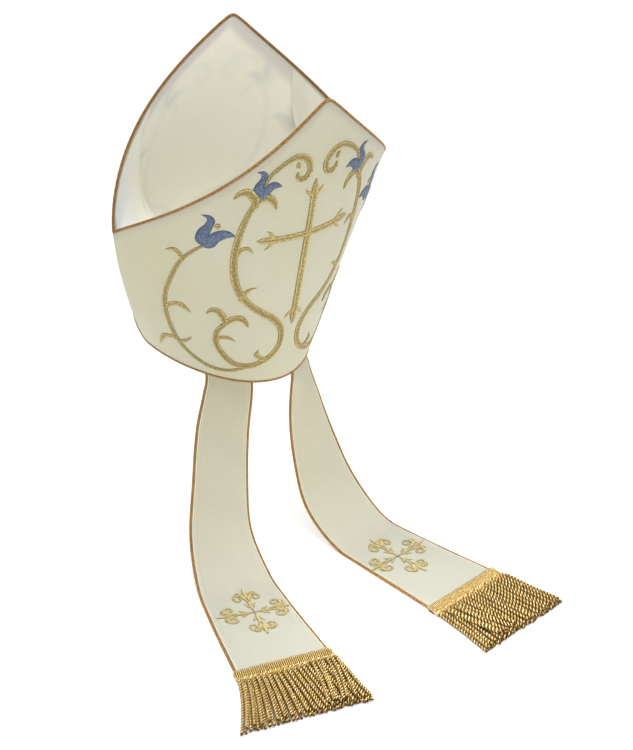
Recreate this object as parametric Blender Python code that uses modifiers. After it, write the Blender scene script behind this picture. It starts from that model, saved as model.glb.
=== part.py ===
"""Bishop mitre: two stiff cloth horns on a round rim, piped edges, side gussets and two fringed lappets.

The mitre is worn leaning back, so its own upright frame (height along the crown's axis, front at -Y)
is turned by LEAN about X. The origin is the centre of the rim opening, +Z is up and the wearer faces -Y.
The lappets are sewn inside the back of the rim, hang down and lie out behind on a flat surface at -DROP.
"""

import bpy
import bmesh
import numpy as np
from math import cos, radians, sin

# Crown, metres: outside of the cloth, measured in the mitre's own upright frame
RIM_WIDTH = 0.176
RIM_DEPTH = 0.1954
NOTCH_WIDTH = 0.3026
NOTCH_DEPTH = 0.1727
PEAK_DEPTH = 0.1414
NOTCH_HEIGHT = 0.150
PEAK_HEIGHT = 0.304
SIDE_SWELL = 0.0058
LEAN = radians(15.6)
WALL = 0.002

# How the cross-section sharpens from the round rim to the lens-shaped notch: exponents of the cosine
RIM_ROUNDNESS = 1.30
NOTCH_ROUNDNESS = 1.80
PEAK_ROUNDNESS = 0.92
PEAK_TIP_ROUNDING = 0.02

# Trims
PIPING_RADIUS = 0.0014
CLEARANCE = 0.0003

# Side gussets: a soft web between the horns at each notch
GUSSET_THICKNESS = 0.0010
GUSSET_SETBACK = 0.012
GUSSET_EDGE_REACH = 0.076
GUSSET_VALLEY_REACH = 0.058
GUSSET_DROP = 0.006

# Lappets
DROP = 0.205
LAPPET_THICKNESS = 0.0016
LAPPET_TOP_WIDTH = 0.043
LAPPET_END_WIDTH = 0.093
LAPPET_REACH = 0.190
LEFT_LAPPET_SEAT = 0.052
RIGHT_LAPPET_SEAT = 0.046
LAPPET_SEAM_HEIGHT = 0.018
LAPPET_CLEARANCE = 0.0009

# Fringes
HEADING_WIDTH = 0.098
HEADING_DEPTH = 0.0125
HEADING_THICKNESS = 0.0034
FRINGE_LENGTH = 0.069
LOCK_RADIUS = 0.0036
LOCK_COUNT = 13
# Locks swing aside by a share of their radius, in a wave that goes on from lock to lock (radians)
LOCK_SWAY = {"share": 0.35, "from_lock_to_lock": 2.4, "along_a_lock": 3.0}
# Every second and third lock of three is a little shorter, and an outward lean grows towards the tip
LOCK_SHORTENING = 0.03
LOCK_LEAN_CURVE = 1.3

# Mesh fineness; the horns' columns bunch together towards the peak, and edges past SHARP_ANGLE stay crisp
PANEL_COLUMNS = 24
PEAK_BUNCHING = 0.25
PANEL_ROWS = 14
LAPPET_ROWS = 24
LAPPET_COLUMNS = 4
GUSSET_COLUMNS = 8
GUSSET_ROWS = 6
SHARP_ANGLE = radians(40)

# Rise of the horn's edge from the notch (0) to the peak (1), against the way across from centre to side
HORN_EDGE = [
    {"across": 0.00, "rise": 1.00},
    {"across": 0.25, "rise": 0.63},
    {"across": 0.50, "rise": 0.33},
    {"across": 0.75, "rise": 0.11},
    {"across": 1.00, "rise": 0.00},
]

# Middle line of each lappet, from its seam inside the rim to its end. along is the share of its length;
# aside and back are shares of LAPPET_REACH, down is the share of the height from seam to surface;
# turn and roll, in degrees, swing and tilt the line across the cloth.
LEFT_LAPPET = [
    {"along": 0.00, "aside": 0.000, "back": 0.000, "down": 0.000, "turn": -40, "roll": 0},
    {"along": 0.10, "aside": -0.044, "back": -0.007, "down": 0.160, "turn": -39, "roll": 2},
    {"along": 0.22, "aside": -0.018, "back": 0.008, "down": 0.368, "turn": -21, "roll": 12},
    {"along": 0.36, "aside": 0.038, "back": 0.064, "down": 0.603, "turn": -11, "roll": 12},
    {"along": 0.50, "aside": 0.103, "back": 0.157, "down": 0.829, "turn": -10, "roll": 9},
    {"along": 0.64, "aside": 0.165, "back": 0.347, "down": 0.982, "turn": -17, "roll": 1},
    {"along": 0.80, "aside": 0.259, "back": 0.627, "down": 1.000, "turn": -19, "roll": 0},
    {"along": 1.00, "aside": 0.372, "back": 0.990, "down": 1.000, "turn": -15, "roll": 0},
]
RIGHT_LAPPET = [
    {"along": 0.00, "aside": 0.000, "back": 0.000, "down": 0.000, "turn": 40, "roll": 0},
    {"along": 0.10, "aside": 0.039, "back": -0.004, "down": 0.158, "turn": 40, "roll": 5},
    {"along": 0.22, "aside": 0.036, "back": 0.020, "down": 0.365, "turn": 19, "roll": -2},
    {"along": 0.36, "aside": 0.001, "back": 0.072, "down": 0.606, "turn": 9, "roll": -7},
    {"along": 0.50, "aside": -0.046, "back": 0.157, "down": 0.834, "turn": 4, "roll": -9},
    {"along": 0.64, "aside": -0.084, "back": 0.360, "down": 0.984, "turn": 7, "roll": -2},
    {"along": 0.80, "aside": -0.119, "back": 0.663, "down": 1.000, "turn": 6, "roll": 0},
    {"along": 1.00, "aside": -0.165, "back": 1.040, "down": 1.000, "turn": 7, "roll": 0},
]
# Where the cloth stops following the inside of the wall and hangs free, as shares of the lappet's length
WALL_HOLD = {"until": 0.06, "free": 0.17}

# How far each fringe's outer locks lean out past its heading, as shares of FRINGE_LENGTH
FRINGE_SPREAD = {
    "left": {"outer": 0.31, "inner": 0.00},
    "right": {"outer": 0.08, "inner": 0.19},
}
# A lock's thickness from root to tip, as a share of its radius
LOCK_SECTIONS = [
    {"along": 0.00, "thickness": 0.45},
    {"along": 0.14, "thickness": 0.90},
    {"along": 0.40, "thickness": 1.00},
    {"along": 0.75, "thickness": 1.12},
    {"along": 1.00, "thickness": 0.95},
]

# The gusset's valley: how far it lies towards the front horn, and how far along the cloth from there
GUSSET_VALLEY = {"forward": 0.55, "at": 0.34}

FRONT, BACK = -1, 1
CLOTH = {"color": (0.80, 0.77, 0.67), "roughness": 0.75, "metallic": 0.0}
LINING = {"color": (0.82, 0.81, 0.76), "roughness": 0.80, "metallic": 0.0}
CORD = {"color": (0.55, 0.30, 0.10), "roughness": 0.45, "metallic": 0.3}
BULLION = {"color": (0.60, 0.43, 0.18), "roughness": 0.40, "metallic": 0.5}


def start_scene():
    """Empty the scene and return the collection that holds the mitre."""
    for old in list(bpy.data.objects):
        bpy.data.objects.remove(old, do_unlink=True)
    group = bpy.data.collections.new("bishop_mitre")
    bpy.context.scene.collection.children.link(group)
    return group


def material(name, look):
    """A Principled material of one colour, roughness and metallic value."""
    made = bpy.data.materials.new(name)
    made.use_nodes = True
    shader = made.node_tree.nodes["Principled BSDF"]
    shader.inputs["Base Color"].default_value = (*look["color"], 1.0)
    shader.inputs["Roughness"].default_value = look["roughness"]
    shader.inputs["Metallic"].default_value = look["metallic"]
    return made


def smooth(rows, column, shares):
    """Read a table's column at the given shares, on a smooth curve through its rows."""
    at = np.array([row["along"] for row in rows])
    value = np.array([row[column] for row in rows], dtype=float)
    slope = np.gradient(value, at)
    index = np.clip(np.searchsorted(at, shares, side="right") - 1, 0, len(at) - 2)
    span = at[index + 1] - at[index]
    u = (shares - at[index]) / span
    start = (2 * u**3 - 3 * u**2 + 1) * value[index] + (u**3 - 2 * u**2 + u) * span * slope[index]
    end = (3 * u**2 - 2 * u**3) * value[index + 1] + (u**3 - u**2) * span * slope[index + 1]
    return start + end


def through_three(height, at_rim, at_notch, at_peak):
    """The parabola through a value at the rim, the notch and the peak."""
    rim = (height - NOTCH_HEIGHT) * (height - PEAK_HEIGHT) / (NOTCH_HEIGHT * PEAK_HEIGHT)
    notch = height * (height - PEAK_HEIGHT) / (NOTCH_HEIGHT * (NOTCH_HEIGHT - PEAK_HEIGHT))
    peak = height * (height - NOTCH_HEIGHT) / (PEAK_HEIGHT * (PEAK_HEIGHT - NOTCH_HEIGHT))
    return at_rim * rim + at_notch * notch + at_peak * peak


def leaned(upright):
    """Turn points of the mitre's upright frame back by LEAN, about the rim's centre."""
    x, y, z = np.moveaxis(upright, -1, 0)
    return np.stack([x, y * cos(LEAN) + z * sin(LEAN), z * cos(LEAN) - y * sin(LEAN)], -1)


def crown_section(height, inset=0.0):
    """Half width, half depth and roundness of the crown's cross-section at a height."""
    up = height / NOTCH_HEIGHT
    half_width = (RIM_WIDTH + (NOTCH_WIDTH - RIM_WIDTH) * up) / 2 + SIDE_SWELL * 4 * up * (1 - up) - inset
    half_depth = through_three(height, RIM_DEPTH, NOTCH_DEPTH, PEAK_DEPTH) / 2 - inset
    return half_width, half_depth, through_three(height, RIM_ROUNDNESS, NOTCH_ROUNDNESS, PEAK_ROUNDNESS)


def upright_point(across, height, face, inset=0.0):
    """Point of a horn in the upright frame: across runs from -1 to 1, inset goes in through the cloth."""
    half_width, half_depth, roundness = crown_section(height, inset)
    angle = across * np.pi / 2
    depth = half_depth * np.abs(np.cos(angle)) ** roundness + CLEARANCE / 2
    return np.stack(np.broadcast_arrays(half_width * np.sin(angle), face * depth, height), -1)


def crown_point(across, height, face, inset=0.0):
    """Point of a horn, leaned."""
    return leaned(upright_point(across, height, face, inset))


def room_inside(aside, height, inset):
    """Depth free inside a horn at a place of the upright frame."""
    half_width, half_depth, roundness = crown_section(height, inset)
    beside = np.clip(np.abs(aside) / half_width, 0.0, 1.0)
    return half_depth * (1 - beside**2) ** (roundness / 2)


def horn_edge(across):
    """Height of the horn's piped edge: the polynomial through HORN_EDGE, rounded off at the peak."""
    at = np.array([row["across"] for row in HORN_EDGE])
    rise = np.array([row["rise"] for row in HORN_EDGE])
    out = np.hypot(across, PEAK_TIP_ROUNDING)
    curve = np.polynomial.polynomial.polyfit(at, rise, len(at) - 1)
    return NOTCH_HEIGHT + (PEAK_HEIGHT - NOTCH_HEIGHT) * np.polynomial.polynomial.polyval(out, curve)


def cloth_edge(across):
    """Height at which a horn's cloth stops, clear of the piping on its edge."""
    height = horn_edge(across)
    line = crown_point(across, height, BACK)
    step = np.linalg.norm(np.gradient(line, axis=0), axis=1)
    steepness = np.abs(np.gradient(height)) / np.sqrt(np.maximum(step**2 - np.gradient(height) ** 2, 1e-12))
    return height - (PIPING_RADIUS + CLEARANCE) * np.hypot(1.0, steepness)


def add_mesh(group, name, points, faces, look):
    """Add a mesh object from points and faces, with smooth shading."""
    mesh = bpy.data.meshes.new(name)
    mesh.from_pydata([tuple(p) for p in points.reshape(-1, 3)], [], faces)
    mesh.update()
    mesh.shade_smooth()
    mesh.set_sharp_from_angle(angle=SHARP_ANGLE)
    mesh.materials.append(look)
    made = bpy.data.objects.new(name, mesh)
    group.objects.link(made)
    return made


def grid_faces(rows, columns, first=0, flip=False):
    """Quads of a grid of rows by columns of points that starts at index first."""
    faces = []
    for row in range(rows - 1):
        for column in range(columns - 1):
            corner = first + row * columns + column
            face = (corner, corner + 1, corner + columns + 1, corner + columns)
            faces.append(face[::-1] if flip else face)
    return faces


def border(rows, columns):
    """Indices round the edge of a grid, in order."""
    bottom = list(range(columns))
    right = [row * columns + columns - 1 for row in range(1, rows)]
    top = [(rows - 1) * columns + column for column in range(columns - 2, -1, -1)]
    left = [row * columns for row in range(rows - 2, 0, -1)]
    return bottom + right + top + left


def add_loft(group, name, outer, inner, look):
    """Close the space between an outer and an inner grid of the same size into one body."""
    rows, columns = outer.shape[:2]
    count = rows * columns
    faces = grid_faces(rows, columns) + grid_faces(rows, columns, count, flip=True)
    ring = border(rows, columns)
    for a, b in zip(ring, ring[1:] + ring[:1]):
        faces.append((b, a, a + count, b + count))
    made = add_mesh(group, name, np.stack([outer, inner]), faces, look)
    tidy = bmesh.new()
    tidy.from_mesh(made.data)
    bmesh.ops.recalc_face_normals(tidy, faces=tidy.faces)
    tidy.to_mesh(made.data)
    tidy.free()
    return made


def add_sheet(group, name, grid, thickness, look):
    """A cloth of even thickness on both sides of a grid of points."""
    rows, columns = grid.shape[:2]
    made = add_mesh(group, name, grid, grid_faces(rows, columns), look)
    wall = made.modifiers.new("cloth", "SOLIDIFY")
    wall.thickness = thickness
    wall.offset = 0.0
    wall.use_even_offset = True
    return made


def add_tubes(group, name, lines, radius, look, cyclic=False, thickness=None, resolution=2):
    """Tubes along lines of points, as one curve object; thickness scales the radius at each point."""
    curve = bpy.data.curves.new(name, "CURVE")
    curve.dimensions = "3D"
    curve.bevel_depth = radius
    curve.bevel_resolution = resolution
    curve.use_fill_caps = not cyclic
    for line in lines:
        spline = curve.splines.new("POLY")
        spline.points.add(len(line) - 1)
        spline.points.foreach_set("co", np.column_stack([line, np.ones(len(line))]).ravel())
        if thickness is not None:
            spline.points.foreach_set("radius", thickness)
        spline.use_cyclic_u = cyclic
        spline.use_smooth = True
    curve.materials.append(look)
    made = bpy.data.objects.new(name, curve)
    group.objects.link(made)
    return made


def columns_across():
    """Places across a horn, from side to side, closer together at the peak."""
    even = np.linspace(-1.0, 1.0, PANEL_COLUMNS + 1)
    return (1 - PEAK_BUNCHING) * even + PEAK_BUNCHING * even**3


def build_panels(group, look):
    """The two horns, each one cloth wall from the rim to its pointed edge."""
    across = columns_across()
    low = PIPING_RADIUS + CLEARANCE
    top = cloth_edge(across)
    share = np.linspace(0.0, 1.0, PANEL_ROWS + 1)[:, None]
    height = low + (top - low)[None, :] * share
    for name, face in (("panel_front", FRONT), ("panel_back", BACK)):
        outer = crown_point(across[None, :], height, face)
        inner = crown_point(across[None, :], height, face, inset=WALL)
        add_loft(group, name, outer, inner, look)


def build_crown_piping(group, look):
    """Cord round the rim, and cord along both horns' edges as one loop that turns at the notches."""
    across = columns_across()
    for name, height in (("piping_rim", 0.0 * across), ("piping_horns", horn_edge(across))):
        back = crown_point(across, height, BACK, inset=WALL / 2)
        front = crown_point(across, height, FRONT, inset=WALL / 2)[::-1]
        right = (back[0] + front[-1]) / 2
        left = (back[-1] + front[0]) / 2
        loop = np.vstack([right, back[1:-1], left, front[1:-1]])
        add_tubes(group, name, [loop], PIPING_RADIUS, look, cyclic=True)


def gusset_grid(side):
    """Middle of a gusset: rows run inwards from the notch, columns from the front horn to the back one.

    Each row is a parabola from just below the front piping, down to the valley and up to the back piping.
    """
    inward = np.linspace(0.0, 1.0, GUSSET_ROWS + 1)[:, None]
    span = np.linspace(0.0, 1.0, GUSSET_COLUMNS + 1)[None, :, None]
    half_notch = NOTCH_WIDTH / 2
    reach = GUSSET_SETBACK + (GUSSET_EDGE_REACH - GUSSET_SETBACK) * inward
    across = side * np.arcsin(1.0 - reach / half_notch) * 2 / np.pi
    inset = WALL + CLEARANCE + GUSSET_THICKNESS
    height = horn_edge(across) - GUSSET_DROP
    front = upright_point(across, height, FRONT, inset)
    back = upright_point(across, height, BACK, inset)
    valley_x = side * (half_notch - GUSSET_SETBACK - (GUSSET_VALLEY_REACH - GUSSET_SETBACK) * inward)
    valley_z = NOTCH_HEIGHT - GUSSET_DROP * (1 - inward)
    valley_y = FRONT * GUSSET_VALLEY["forward"] * room_inside(valley_x, valley_z, inset)
    valley = np.stack([valley_x, valley_y, valley_z], -1)
    at = GUSSET_VALLEY["at"]
    pull = (valley - (1 - at) ** 2 * front - at**2 * back) / (2 * at * (1 - at))
    web = (1 - span) ** 2 * front + 2 * span * (1 - span) * pull + span**2 * back
    free = room_inside(web[..., 0], web[..., 2], inset)
    web[..., 1] = np.clip(web[..., 1], -free, free)
    return leaned(web)


def build_gussets(group, look):
    """A soft web of lining at each notch."""
    for name, side in (("gusset_left", 1), ("gusset_right", -1)):
        grid = gusset_grid(side)
        add_sheet(group, name, grid[:, ::side], GUSSET_THICKNESS, look)


class Lappet:
    """One lappet: its middle line, the line across it and its width at shares of its length."""

    def __init__(self, name, rows, side, seat):
        self.name = name
        self.rows = rows
        self.side = side
        self.inset = WALL / 2 + 2 * PIPING_RADIUS + LAPPET_CLEARANCE
        self.centre_across = side * np.arcsin(2 * seat / RIM_WIDTH) * 2 / np.pi
        top = crown_point(np.array(self.centre_across), np.array(LAPPET_SEAM_HEIGHT), BACK, self.inset)
        self.top = top
        self.fall = top[2] + DROP - PIPING_RADIUS

    def hanging(self, along, offset):
        """Point of the free-hanging cloth: offset is the way across from its middle, in metres."""
        aside = smooth(self.rows, "aside", along) * LAPPET_REACH
        back = smooth(self.rows, "back", along) * LAPPET_REACH
        down = np.clip(smooth(self.rows, "down", along), 0.0, 1.0) * self.fall
        turn = np.radians(smooth(self.rows, "turn", along))
        roll = np.radians(smooth(self.rows, "roll", along))
        middle = self.top + np.stack([aside, back, -down], -1)
        line = np.stack([np.cos(turn) * np.cos(roll), np.sin(turn) * np.cos(roll), np.sin(roll)], -1)
        return middle + line * offset[..., None]

    def against_wall(self, along, offset):
        """Point of the cloth while it follows the inside of the back horn."""
        round_rim = (RIM_WIDTH + RIM_DEPTH) / 4
        across = self.centre_across + offset / round_rim * 2 / np.pi
        height = LAPPET_SEAM_HEIGHT - along * (self.fall + LAPPET_REACH)
        return crown_point(across, height, BACK, self.inset)

    def point(self, along, offset):
        """Point of the lappet's middle surface."""
        along, offset = np.broadcast_arrays(along, offset)
        share = (along - WALL_HOLD["until"]) / (WALL_HOLD["free"] - WALL_HOLD["until"])
        free = np.clip(share, 0.0, 1.0)
        free = (free * free * (3 - 2 * free))[..., None]
        return self.against_wall(along, offset) * (1 - free) + self.hanging(along, offset) * free

    def width(self, along):
        """Full width over the side pipings."""
        return LAPPET_TOP_WIDTH + (LAPPET_END_WIDTH - LAPPET_TOP_WIDTH) * along

    def end_frame(self):
        """Where the lappet ends on the surface, and the way it points there, as an angle about +Z."""
        return self.point(np.array(1.0), np.array(0.0)), radians(self.rows[-1]["turn"])


def build_lappet(group, lappet, cloth, cord):
    """The lappet's double cloth and the cord along each of its long sides."""
    along = np.linspace(0.0, 1.0, LAPPET_ROWS + 1)[:, None]
    span = np.linspace(-1.0, 1.0, LAPPET_COLUMNS + 1)[None, :]
    half_cloth = lappet.width(along) / 2 - 2 * PIPING_RADIUS - CLEARANCE
    add_sheet(group, lappet.name, lappet.point(along, span * half_cloth), LAPPET_THICKNESS, cloth)
    for place, side in (("a", 1), ("b", -1)):
        offset = side * (lappet.width(along[:, 0]) / 2 - PIPING_RADIUS)
        line = lappet.point(along[:, 0], offset)
        add_tubes(group, f"{lappet.name}_piping_{place}", [line], PIPING_RADIUS, cord)


def mesh_of_curve(group, curve):
    """Turn a curve object into a mesh object with its caps welded."""
    graph = bpy.context.evaluated_depsgraph_get()
    mesh = bpy.data.meshes.new_from_object(curve.evaluated_get(graph))
    weld = bmesh.new()
    weld.from_mesh(mesh)
    bmesh.ops.remove_doubles(weld, verts=weld.verts, dist=0.00001)
    weld.to_mesh(mesh)
    weld.free()
    made = bpy.data.objects.new(curve.name + "_mesh", mesh)
    made.matrix_world = curve.matrix_world
    group.objects.link(made)
    bpy.data.objects.remove(curve)
    return made


def fringe_locks(spread, side):
    """Lines of the fringe's locks in the heading's frame: +Y along the lappet, +X to its first side."""
    shares = np.array([row["along"] for row in LOCK_SECTIONS])
    thickness = np.array([row["thickness"] for row in LOCK_SECTIONS])
    root_half = HEADING_WIDTH / 2 - LOCK_RADIUS
    lines = []
    for number in range(LOCK_COUNT):
        place = 2 * number / (LOCK_COUNT - 1) - 1
        lean = spread["outer"] * max(place * side, 0) - spread["inner"] * max(-place * side, 0)
        wave = np.sin(LOCK_SWAY["from_lock_to_lock"] * number + LOCK_SWAY["along_a_lock"] * shares)
        sway = LOCK_SWAY["share"] * LOCK_RADIUS * wave
        length = FRINGE_LENGTH * (1 - LOCK_SHORTENING * (number % 3))
        x = place * root_half + side * lean * length * shares**LOCK_LEAN_CURVE + sway * shares
        y = HEADING_DEPTH / 2 + (length + HEADING_DEPTH / 2) * shares
        z = np.maximum(HEADING_THICKNESS / 2, thickness * LOCK_RADIUS + 2 * CLEARANCE)
        lines.append(np.column_stack([x, y, z]))
    return lines, thickness


def build_fringe(group, tools, lappet, look):
    """A braid heading across the lappet's end with a fan of cord locks fused to it."""
    bpy.ops.mesh.primitive_cube_add(size=1.0)
    heading = bpy.context.active_object
    for owner in list(heading.users_collection):
        owner.objects.unlink(heading)
    group.objects.link(heading)
    heading.name = f"{lappet.name}_fringe"
    heading.data.name = heading.name
    heading.data.materials.append(look)
    for vertex in heading.data.vertices:
        vertex.co.x *= HEADING_WIDTH
        vertex.co.y = (vertex.co.y + 0.5) * HEADING_DEPTH
        vertex.co.z = (vertex.co.z + 0.5) * HEADING_THICKNESS
    lines, thickness = fringe_locks(FRINGE_SPREAD[lappet.name.split("_")[1]], lappet.side)
    name = f"{lappet.name}_locks"
    locks = add_tubes(tools, name, lines, LOCK_RADIUS, look, thickness=thickness, resolution=1)
    locks = mesh_of_curve(tools, locks)
    place, angle = lappet.end_frame()
    for piece in (heading, locks):
        piece.location = (place[0] - sin(angle) * CLEARANCE, place[1] + cos(angle) * CLEARANCE, -DROP)
        piece.rotation_euler.z = angle
    locks.hide_render = True
    locks.display_type = "WIRE"
    join = heading.modifiers.new("locks", "BOOLEAN")
    join.operation = "UNION"
    join.object = locks


def main():
    """Build every piece of the mitre."""
    group = start_scene()
    tools = bpy.data.collections.new("tools")
    bpy.context.scene.collection.children.link(tools)
    cloth = material("ivory_cloth", CLOTH)
    lining = material("white_lining", LINING)
    cord = material("copper_cord", CORD)
    bullion = material("gold_bullion", BULLION)
    build_panels(group, cloth)
    build_crown_piping(group, cord)
    build_gussets(group, lining)
    lappets = (
        Lappet("lappet_left", LEFT_LAPPET, 1, LEFT_LAPPET_SEAT),
        Lappet("lappet_right", RIGHT_LAPPET, -1, RIGHT_LAPPET_SEAT),
    )
    for lappet in lappets:
        build_lappet(group, lappet, cloth, cord)
        build_fringe(group, tools, lappet, bullion)


main()
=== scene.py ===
"""Looks of a bishop mitre: ivory satin horns, gold and blue embroidery, twisted cords and fringed lappets.

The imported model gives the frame: metres, +Z up, the wearer faces -Y, origin in the middle of the rim opening.
Shapes are worked out in the mitre's own upright frame, then leaned back about X as the solids are.
"""

import logging
from collections.abc import Callable
from dataclasses import dataclass, field
from enum import Enum
from math import cos, pi, radians, sin

import bpy
import numpy as np
from mathutils import Matrix, Vector


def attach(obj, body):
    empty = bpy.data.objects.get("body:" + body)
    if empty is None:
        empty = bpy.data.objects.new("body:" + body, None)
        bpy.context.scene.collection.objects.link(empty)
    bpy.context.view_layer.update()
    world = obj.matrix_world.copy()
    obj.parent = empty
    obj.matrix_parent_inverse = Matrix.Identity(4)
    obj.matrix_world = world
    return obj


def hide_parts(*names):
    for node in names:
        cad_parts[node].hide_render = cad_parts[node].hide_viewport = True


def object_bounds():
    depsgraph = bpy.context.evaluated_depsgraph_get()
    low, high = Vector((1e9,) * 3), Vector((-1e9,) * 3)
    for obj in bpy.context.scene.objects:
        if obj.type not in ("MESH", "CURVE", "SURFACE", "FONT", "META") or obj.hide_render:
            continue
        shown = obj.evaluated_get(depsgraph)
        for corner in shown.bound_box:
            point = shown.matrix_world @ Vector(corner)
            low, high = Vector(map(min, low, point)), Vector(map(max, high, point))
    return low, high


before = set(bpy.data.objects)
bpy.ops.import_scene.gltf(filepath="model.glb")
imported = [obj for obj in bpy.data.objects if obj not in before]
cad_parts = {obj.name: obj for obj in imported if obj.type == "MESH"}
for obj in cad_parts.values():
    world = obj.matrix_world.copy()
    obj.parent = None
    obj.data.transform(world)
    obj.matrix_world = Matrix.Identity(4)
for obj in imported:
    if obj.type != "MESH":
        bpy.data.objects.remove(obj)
CAD_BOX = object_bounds()

Array = np.ndarray
Surface = Callable[[Array, Array, Array], Array]
log = logging.getLogger("mitre")
MM = 0.001
BODY = "root"
CORD_PITCH = 6.5 * MM
STITCH_PITCH = 2.6 * MM
STITCH_LENGTH = 1.7 * MM


class Face(Enum):
    """Which horn of the crown: the front one lies at -Y, the back one at +Y."""

    FRONT = -1
    BACK = 1


class Hand(Enum):
    """Which lappet: the wearer's left one lies at +X."""

    LEFT = 1
    RIGHT = -1


def hermite(at: Array, value: Array, where: Array) -> Array:
    """Smooth curve through rows of values.

    Each span is the cubic that meets its two values with the slopes of the finite differences there.

    Args:
        at: places of the rows, rising.
        value: one value or point for each row.
        where: places to read.

    Returns:
        The curve's values at those places.
    """
    slope = np.gradient(value, at, axis=0)
    index = np.clip(np.searchsorted(at, where, side="right") - 1, 0, len(at) - 2)
    span = at[index + 1] - at[index]
    u = (where - at[index]) / span
    if value.ndim > 1:
        u, span = u[..., None], span[..., None]
    start = (2 * u**3 - 3 * u**2 + 1) * value[index] + (u**3 - 2 * u**2 + u) * span * slope[index]
    end = (3 * u**2 - 2 * u**3) * value[index + 1] + (u**3 - u**2) * span * slope[index + 1]
    return start + end


def lengths_along(line: Array) -> Array:
    """Distance from a line's first point to each of its points, summed chord by chord."""
    return np.concatenate([[0.0], np.cumsum(np.linalg.norm(np.diff(line, axis=0), axis=1))])


def evenly(line: Array, count: int) -> Array:
    """Points at even distances along a line, by linear interpolation over its length.

    Args:
        line: points, one a row.
        count: how many points to give.

    Returns:
        The even points.
    """
    along = lengths_along(line)
    even = np.linspace(0.0, along[-1], count)
    return np.column_stack([np.interp(even, along, column) for column in line.T])


def through(points: tuple[tuple[float, ...], ...], count: int) -> Array:
    """Even points on a smooth curve through a few control points, knotted by the square root of the chords.

    Args:
        points: control points.
        count: how many points to give.

    Returns:
        The even points.
    """
    rows = np.asarray(points, dtype=float)
    knots = np.concatenate([[0.0], np.cumsum(np.linalg.norm(np.diff(rows, axis=0), axis=1) ** 0.5)])
    dense = hermite(knots, rows, np.linspace(0.0, knots[-1], 40 * len(rows)))
    return evenly(dense, count)


def ease(share: Array) -> Array:
    """Smooth step from 0 to 1: three squares less two cubes of the share, held to 0 and 1 outside."""
    held = np.clip(share, 0.0, 1.0)
    return held * held * (3 - 2 * held)


def unit(vectors: Array) -> Array:
    """Vectors divided by their lengths."""
    return vectors / np.maximum(np.linalg.norm(vectors, axis=-1, keepdims=True), 1e-12)


def corners(grid: Array) -> Array:
    """The four corners of every cell of a grid, in order round the cell."""
    around = [grid[:-1, :-1], grid[:-1, 1:], grid[1:, 1:], grid[1:, :-1]]
    return np.stack(around, axis=2).reshape(-1, 4, *grid.shape[2:])


def grid_area(points: Array) -> float:
    """Area of a grid of points: half the cross product of each cell's diagonals, summed."""
    cell = corners(points)
    return float(np.linalg.norm(np.cross(cell[:, 2] - cell[:, 0], cell[:, 3] - cell[:, 1]), axis=1).sum() / 2)


class MeshPile:
    """Closed bodies of quads gathered into one mesh, with a UV map in metres and tones on its points."""

    def __init__(self) -> None:
        """Start with no bodies."""
        self.points: list[Array] = []
        self.quads: list[Array] = []
        self.maps: list[Array] = []
        self.tones: dict[str, list[Array]] = {}
        self.count = 0

    def add(self, grid: Array, uv: Array, tones: dict[str, Array] | None = None, ring: bool = False) -> None:
        """Add one body whose grid columns run round it.

        Each cell of the grid is a quad, the last column joins the first, and a ladder of quads across each
        end closes it. The quads are turned over if the volume that they enclose comes out negative.

        Args:
            grid: points, rows along the body and an even number of columns round it.
            uv: map in metres, one more column than the grid, and one more row where it is a ring.
            tones: values from 0 to 1 for each point, by name.
            ring: whether the last row joins the first.
        """
        rows, columns = grid.shape[:2]
        index = np.arange(rows * columns).reshape(rows, columns)
        index = np.column_stack([index, index[:, 0]])
        if ring:
            index = np.vstack([index, index[:1]])
        quads, maps = [corners(index)], [corners(uv)]
        if not ring:
            half = columns // 2
            for row, turn in ((0, -1), (rows - 1, 1)):
                ladder = np.stack([index[row, :half], index[row, columns - 1 : half - 1 : -1]])
                steps = np.stack([uv[row, :half], uv[row, columns - 1 : half - 1 : -1]])
                quads.append(corners(ladder)[:, ::turn])
                maps.append(corners(steps)[:, ::turn])
        quad, uvs = np.concatenate(quads), np.concatenate(maps)
        flat = grid.reshape(-1, 3)
        corner = flat[quad] - flat.mean(axis=0)
        fans = np.cross(corner[:, 1], corner[:, 2]) + np.cross(corner[:, 2], corner[:, 3])
        if (corner[:, 0] * fans).sum() < 0:
            quad, uvs = quad[:, ::-1], uvs[:, ::-1]
        self.points.append(flat)
        self.quads.append(quad + self.count)
        self.maps.append(uvs)
        for name, tone in (tones or {}).items():
            self.tones.setdefault(name, []).append(np.asarray(tone, dtype=float).reshape(-1))
        self.count += len(flat)

    def make(self, name: str, look: bpy.types.Material, sharp: float = 50.0) -> bpy.types.Object:
        """Turn the bodies into one smooth-shaded object.

        Args:
            name: the piece's name.
            look: its material.
            sharp: edges that turn by more than this, in degrees, stay crisp.

        Returns:
            The new object, at the origin, with its place in its mesh.
        """
        mesh = bpy.data.meshes.new(name)
        mesh.from_pydata(np.concatenate(self.points).tolist(), [], np.concatenate(self.quads).tolist())
        layer = mesh.uv_layers.new(name="cloth")
        layer.data.foreach_set("uv", np.concatenate(self.maps).astype(np.float32).ravel())
        for tone, values in self.tones.items():
            attribute = mesh.attributes.new(tone, "FLOAT", "POINT")
            attribute.data.foreach_set("value", np.concatenate(values).astype(np.float32))
        mesh.shade_smooth()
        mesh.set_sharp_from_angle(angle=radians(sharp))
        mesh.materials.append(look)
        made = bpy.data.objects.new(name, mesh)
        bpy.context.scene.collection.objects.link(made)
        log.info("%s: %d quads", name, len(mesh.polygons))
        return made


def plain_map(grid: Array, across: Array, along: Array) -> Array:
    """UV map of a body: the two coordinates, stacked, with the first column repeated at the end."""
    uv = np.stack(np.broadcast_arrays(across, along), -1).reshape(*grid.shape[:2], 2)
    return np.concatenate([uv, uv[:, :1]], axis=1)


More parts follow.
